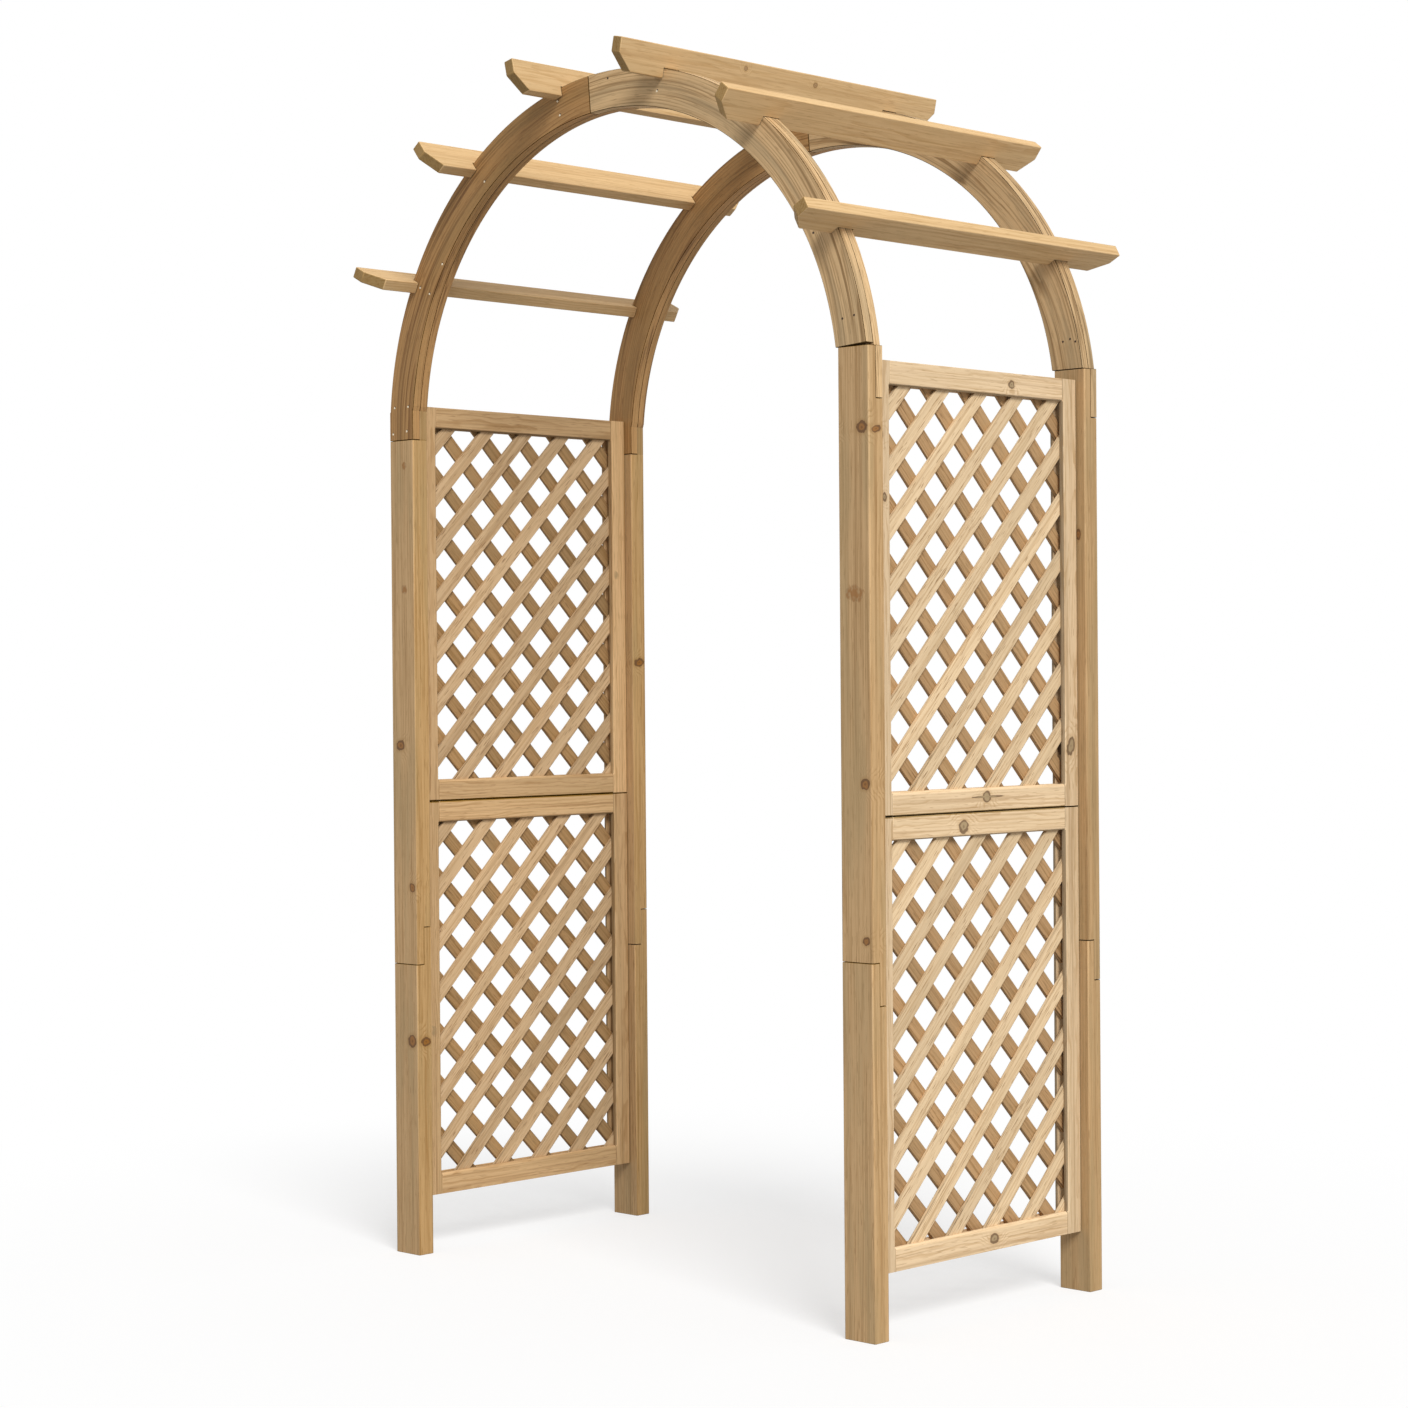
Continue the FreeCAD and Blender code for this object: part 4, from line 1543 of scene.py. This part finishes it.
@dataclass
class Studio:
    """Plain soft light, a pale floor and the camera of the photograph.

    Attributes:
        azimuth: Where the camera stands: 0 looks along +Y and 90 along -X.
        elevation: Tilt of the view in degrees.
        roll: Roll of the camera in degrees.
        focal_pixels: Focal length in pixels of the photograph.
        sensor: Width of the camera's sensor in mm.
        position: Place of the camera.
        light_azimuth: Direction that the light comes from, in degrees as for the camera.
        light_elevation: Its height above the horizon in degrees.
        light_strength: Its strength in watts per square metre.
        light_softness: Its angular width in degrees.
        surround: Strength of the light from all round.
        floor_size: Half of the floor's width.
        floor_fade: Distances where the floor starts to fade into the background and where it is gone.
        floor_glow: Share of the background's white in the floor under the arch.
    """

    azimuth: float = 44.435
    elevation: float = 0.477
    roll: float = -0.437
    focal_pixels: float = 3049.0
    sensor: float = 36.0
    position: Vector = field(default_factory=lambda: Vector((4.3912, -4.5632, 1.2298)))
    light_azimuth: float = 62
    light_elevation: float = 40
    light_strength: float = 2.55
    light_softness: float = 24
    surround: float = 0.45
    floor_size: float = 40
    floor_fade: tuple[float, float] = (0.8, 2.6)
    floor_glow: float = 0.58

    def build(self) -> None:
        """Builds the floor, the light and the camera."""
        scene = bpy.context.scene
        scene.view_settings.view_transform = "Standard"
        self._floor()
        self._world(scene)
        self._light(scene)
        self._camera(scene)

    def _seen_directly(self, tree: NodeTree) -> Source:
        """Gives a factor of 1 for camera, glossy and transmission rays.

        Args:
            tree: Node tree of the floor or the world.

        Returns:
            The factor.
        """
        path = add_node(tree, "ShaderNodeLightPath")
        seen = path.outputs["Is Camera Ray"]
        for ray in ("Is Glossy Ray", "Is Transmission Ray"):
            seen = add_node(tree, "ShaderNodeMath", {0: seen, 1: path.outputs[ray]}, operation="MAXIMUM")
        return seen

    def _floor(self) -> None:
        """Builds a pale floor that fades into the white background."""
        material = bpy.data.materials.new("matt_white_floor")
        tree = empty_tree(material)
        seen = self._seen_directly(tree)
        shades = {FACTOR: seen, COLOUR_A: linear("BCBCBC"), COLOUR_B: linear("FFFFFF")}
        colour = add_node(tree, "ShaderNodeMix", shades, data_type="RGBA").outputs[RESULT]
        lit = add_node(tree, "ShaderNodeBsdfDiffuse", {"Color": colour})
        white = add_node(tree, "ShaderNodeEmission", {"Color": WHITE, "Strength": 1.0})
        place = add_node(tree, "ShaderNodeTexCoord").outputs["Object"]
        distance = add_node(tree, "ShaderNodeVectorMath", {0: place}, operation="LENGTH").outputs["Value"]
        near, gone = self.floor_fade
        span = {"Value": distance, "From Min": near, "From Max": gone, "To Min": self.floor_glow}
        far = add_node(tree, "ShaderNodeMapRange", span, interpolation_type="SMOOTHSTEP")
        fade = add_node(tree, "ShaderNodeMath", {0: far, 1: seen}, operation="MULTIPLY")
        surface = add_node(tree, "ShaderNodeMixShader", {0: fade, 1: lit, 2: white})
        add_node(tree, "ShaderNodeOutputMaterial", {"Surface": surface})
        bm = bmesh.new()
        bmesh.ops.create_grid(bm, x_segments=1, y_segments=1, size=self.floor_size)
        make_object(bm, "floor", material)

    def _world(self, scene: Scene) -> None:
        """Makes an even grey surround that looks white to the camera.

        Args:
            scene: Scene that gets the world.
        """
        scene.world = bpy.data.worlds.new("studio")
        tree = empty_tree(scene.world)
        span = {"Value": self._seen_directly(tree), "To Min": self.surround, "To Max": 1.0}
        strength = add_node(tree, "ShaderNodeMapRange", span)
        background = add_node(tree, "ShaderNodeBackground", {"Color": WHITE, "Strength": strength})
        add_node(tree, "ShaderNodeOutputWorld", {"Surface": background})

    def _light(self, scene: Scene) -> None:
        """Adds a broad distant light.

        Args:
            scene: Scene that gets the light.
        """
        lamp = bpy.data.lights.new("key", "SUN")
        lamp.energy = self.light_strength
        lamp.angle = math.radians(self.light_softness)
        holder = bpy.data.objects.new("key", lamp)
        holder.rotation_mode = "QUATERNION"
        holder.rotation_quaternion = self._facing(self.light_azimuth, self.light_elevation)
        scene.collection.objects.link(holder)

    def _facing(self, azimuth: float, elevation: float) -> Quaternion:
        """Gives the turn of a camera or lamp that looks back from a direction.

        Args:
            azimuth: Direction in degrees, 0 at -Y and 90 at +X.
            elevation: Height above the horizon in degrees.

        Returns:
            The rotation.
        """
        across, up = math.radians(azimuth), math.radians(elevation)
        back = Vector((math.sin(across) * math.cos(up), -math.cos(across) * math.cos(up), math.sin(up)))
        return (-back).to_track_quat("-Z", "Y")

    def _camera(self, scene: Scene) -> None:
        """Sets up the camera of the photograph.

        Args:
            scene: Scene that gets the camera.
        """
        camera = bpy.data.cameras.new("photograph")
        camera.sensor_width = self.sensor
        camera.lens = self.sensor * self.focal_pixels / IMAGE_WIDTH
        holder = bpy.data.objects.new("photograph", camera)
        holder.location = self.position
        holder.rotation_mode = "QUATERNION"
        roll = Quaternion((0, 0, 1), math.radians(self.roll))
        holder.rotation_quaternion = self._facing(self.azimuth, self.elevation) @ roll
        scene.collection.objects.link(holder)
        scene.camera = holder


POST_KNOTS = {
    "front_right_upper_post": (
        Knot(1691, 21, 11, 12),
        Knot(1385, 0, 15, 20, pale=True),
        Knot(1033, 23, 10, 10),
        Knot(743, 23, 8, 8),
        Knot(1688, 0, 6, 13, KnotAxis.ACROSS, tilt=12),
    ),
    "front_left_lower_post": (Knot(458, 20, 13, 12, tilt=-20), Knot(456, 3, 10, 12, KnotAxis.ACROSS)),
    "front_left_upper_post": (
        Knot(1091, -11, 11, 12),
        Knot(1425, 5, 9, 9, pale=True),
        Knot(787, 24, 10, 9),
        Knot(1690, 8, 8, 7, pale=True),
    ),
    "rear_left_upper_post": (Knot(1268, 0, 9, 15, KnotAxis.ACROSS, tilt=12),),
    "rear_right_upper_post": (Knot(1512, 20, 11, 6),),
}

PANEL_KNOTS = {
    "right_upper_panel_front_stile": (Knot(1565, 4, 8, 6), Knot(1680, -6, 10, 8)),
    "right_upper_panel_rear_stile": (Knot(1090, 2, 18, 11, tilt=20),),
    "right_upper_panel_top_rail": (Knot(100, 0, 9, 8),),
    # The second is a crack that runs out of the knot along the grain
    "right_upper_panel_bottom_rail": (Knot(16, 5, 11, 11), Knot(18, 5, 48, 2.0)),
    "right_lower_panel_top_rail": (Knot(-55, 4, 14, 12),),
    "right_lower_panel_bottom_rail": (Knot(30, 0, 13, 10),),
    "left_upper_panel_rear_stile": (Knot(1468, 8, 9, 7, pale=True),),
    "left_lower_panel_front_stile": (Knot(472, 3, 11, 7, pale=True),),
}

PANEL_TONES = {
    "right_upper_panel_front_stile": -0.08,
    "right_upper_panel_rear_stile": -0.08,
    "right_lower_panel_front_stile": -0.08,
    "right_lower_panel_rear_stile": -0.12,
    "left_upper_panel_front_stile": -0.06,
    "left_upper_panel_rear_stile": 0.2,
    "left_lower_panel_front_stile": -0.06,
    "left_lower_panel_rear_stile": -0.04,
    "left_lower_panel_top_rail": 0.1,
    "left_upper_panel_top_rail": -0.06,
    "left_upper_panel_bottom_rail": -0.05,
}

RAIL_KNOTS = {
    "rail_right_top": (Knot(-120, 18, 5, 5), Knot(88, 12, 6, 5)),
}

# The front right seam has opened by 5 mm over the 76 mm of the board
OPEN_SEAMS = {"front_right_fore_curve": 5 / 76}

# Posts that have weathered a little: soft rings and few streaks under a grey cast
POST_PINE = WoodFinish(
    "planed_pine_posts", "CEAA7C", "A67F4F", "8C683C", "A8936C",
    weathering=0.4, ring_share=0.55, streak_share=0.35,
)
# The left half of the arch is browner and darker, with dark streaks; the right half is pale with crisp rings
ARCH_PINE = {
    Side.LEFT: WoodFinish(
        "brown_pine_arch", "AF8655", "845C32", "61401F", "8A7046",
        weathering=0.3, ring_share=0.75, streak_share=0.65,
    ),
    Side.RIGHT: WoodFinish(
        "pale_pine_arch", "DEBB8B", "A88458", "86663E", "A38F6E",
        weathering=0.5, ring_share=0.9, streak_share=0.75,
    ),
}
# Clean, even boards with a wavy figure and knots that hardly show
RAIL_PINE = WoodFinish(
    "planed_pine_rails", "DFBC8A", "C09760", "A07644", "C8A979",
    weathering=0.25, ring_share=0.5, streak_share=0.25, fleck_share=0.35,
    knot_heart="B8956A", knot_rim="94744C", wander=380.0,
)
# Stiles and crosspieces of narrow boards, with a strong wavy figure and small dark-rimmed knots
PANEL_PINE = {
    Side.LEFT: WoodFinish(
        "planed_pine_left_panels", "D0AC7E", "AE8656", "8C653A", "BA9A6C",
        weathering=0.25, ring_share=0.75, streak_share=0.45,
        knot_heart="A58A62", knot_rim="6E563A", wander=230.0,
    ),
    Side.RIGHT: WoodFinish(
        "planed_pine_right_panels", "ECCFA7", "C8A476", "A47F54", "D0B68E",
        weathering=0.25, ring_share=0.7, streak_share=0.45,
        knot_heart="B09873", knot_rim="6A5036", wander=230.0,
    ),
}
# Back-layer slats are darker: partly painted shade from the front layer, partly browner wood
SLAT_PINE = {
    (Side.LEFT, Lean.RISING): WoodFinish(
        "left_front_slats", "D1B188", "AA8456", "805C38", "BC9E76",
        ring_share=0.5, streak_share=0.2, fleck_share=0.75,
    ),
    (Side.LEFT, Lean.FALLING): WoodFinish(
        "left_back_slats", "AC875A", "82602F", "6A4C2C", "987E58",
        ring_share=0.65, streak_share=0.2, fleck_share=0.6,
    ),
    (Side.RIGHT, Lean.RISING): WoodFinish(
        "right_front_slats", "E7CBA3", "BE996A", "8E6A42", "CBB088",
        ring_share=0.5, streak_share=0.2, fleck_share=0.75,
    ),
    (Side.RIGHT, Lean.FALLING): WoodFinish(
        "right_back_slats", "BC966A", "906B3E", "745432", "A48962",
        ring_share=0.65, streak_share=0.2, fleck_share=0.6,
    ),
}
# Zinc looks nearly white in the light, and rust makes a dark dot; the rust colour also paints the shadows
BRIGHT_STEEL = NailFinish("zinc_plated_nails", "FFF3DC", "EAD9B4", 0.1, 0.4)
DULL_STEEL_AND_PAINTED_SHADOW = NailFinish("rusted_nails_and_painted_shadows", "4A3524", "2E2118", 0.2, 0.7)


def main() -> None:
    """Builds the arch and the studio."""
    logging.basicConfig(level=logging.INFO, format="%(message)s")
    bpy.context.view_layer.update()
    posts = POST_PINE.build()
    arches = {side: finish.build() for side, finish in ARCH_PINE.items()}
    front = ArchedFrame(
        Place.FRONT,
        tones={Side.LEFT: -0.1, Side.RIGHT: 0.0},
        knots=POST_KNOTS,
        curve_tones={Side.LEFT: 0.0, Side.RIGHT: -0.02},
        curve_side_tones={Side.LEFT: 0.18, Side.RIGHT: 0.12},
        foot_slope=OPEN_SEAMS,
    )
    rear = ArchedFrame(
        Place.REAR,
        tones={Side.LEFT: -0.12, Side.RIGHT: -0.09},
        knots=POST_KNOTS,
        curve_tones={Side.LEFT: 0.0, Side.RIGHT: -0.1},
        curve_side_tones={Side.LEFT: 0.28, Side.RIGHT: 0.0},
        lap_wear=WearAndPaintedLight.TIGHT,
    )
    for arched_frame in (front, rear):
        arched_frame.build(posts, arches)
    Rails(RAIL_KNOTS).build(RAIL_PINE.build())
    panels = {side: finish.build() for side, finish in PANEL_PINE.items()}
    slats = {key: finish.build() for key, finish in SLAT_PINE.items()}
    for side in Side:
        layers = {lean: slats[side, lean] for lean in Lean}
        for level in Level:
            LatticePanel(side, level, PANEL_KNOTS, PANEL_TONES).build(panels[side], layers)
    Nails().build(BRIGHT_STEEL.build(), DULL_STEEL_AND_PAINTED_SHADOW.build())
    Studio().build()


if __name__ == "__main__":
    main()
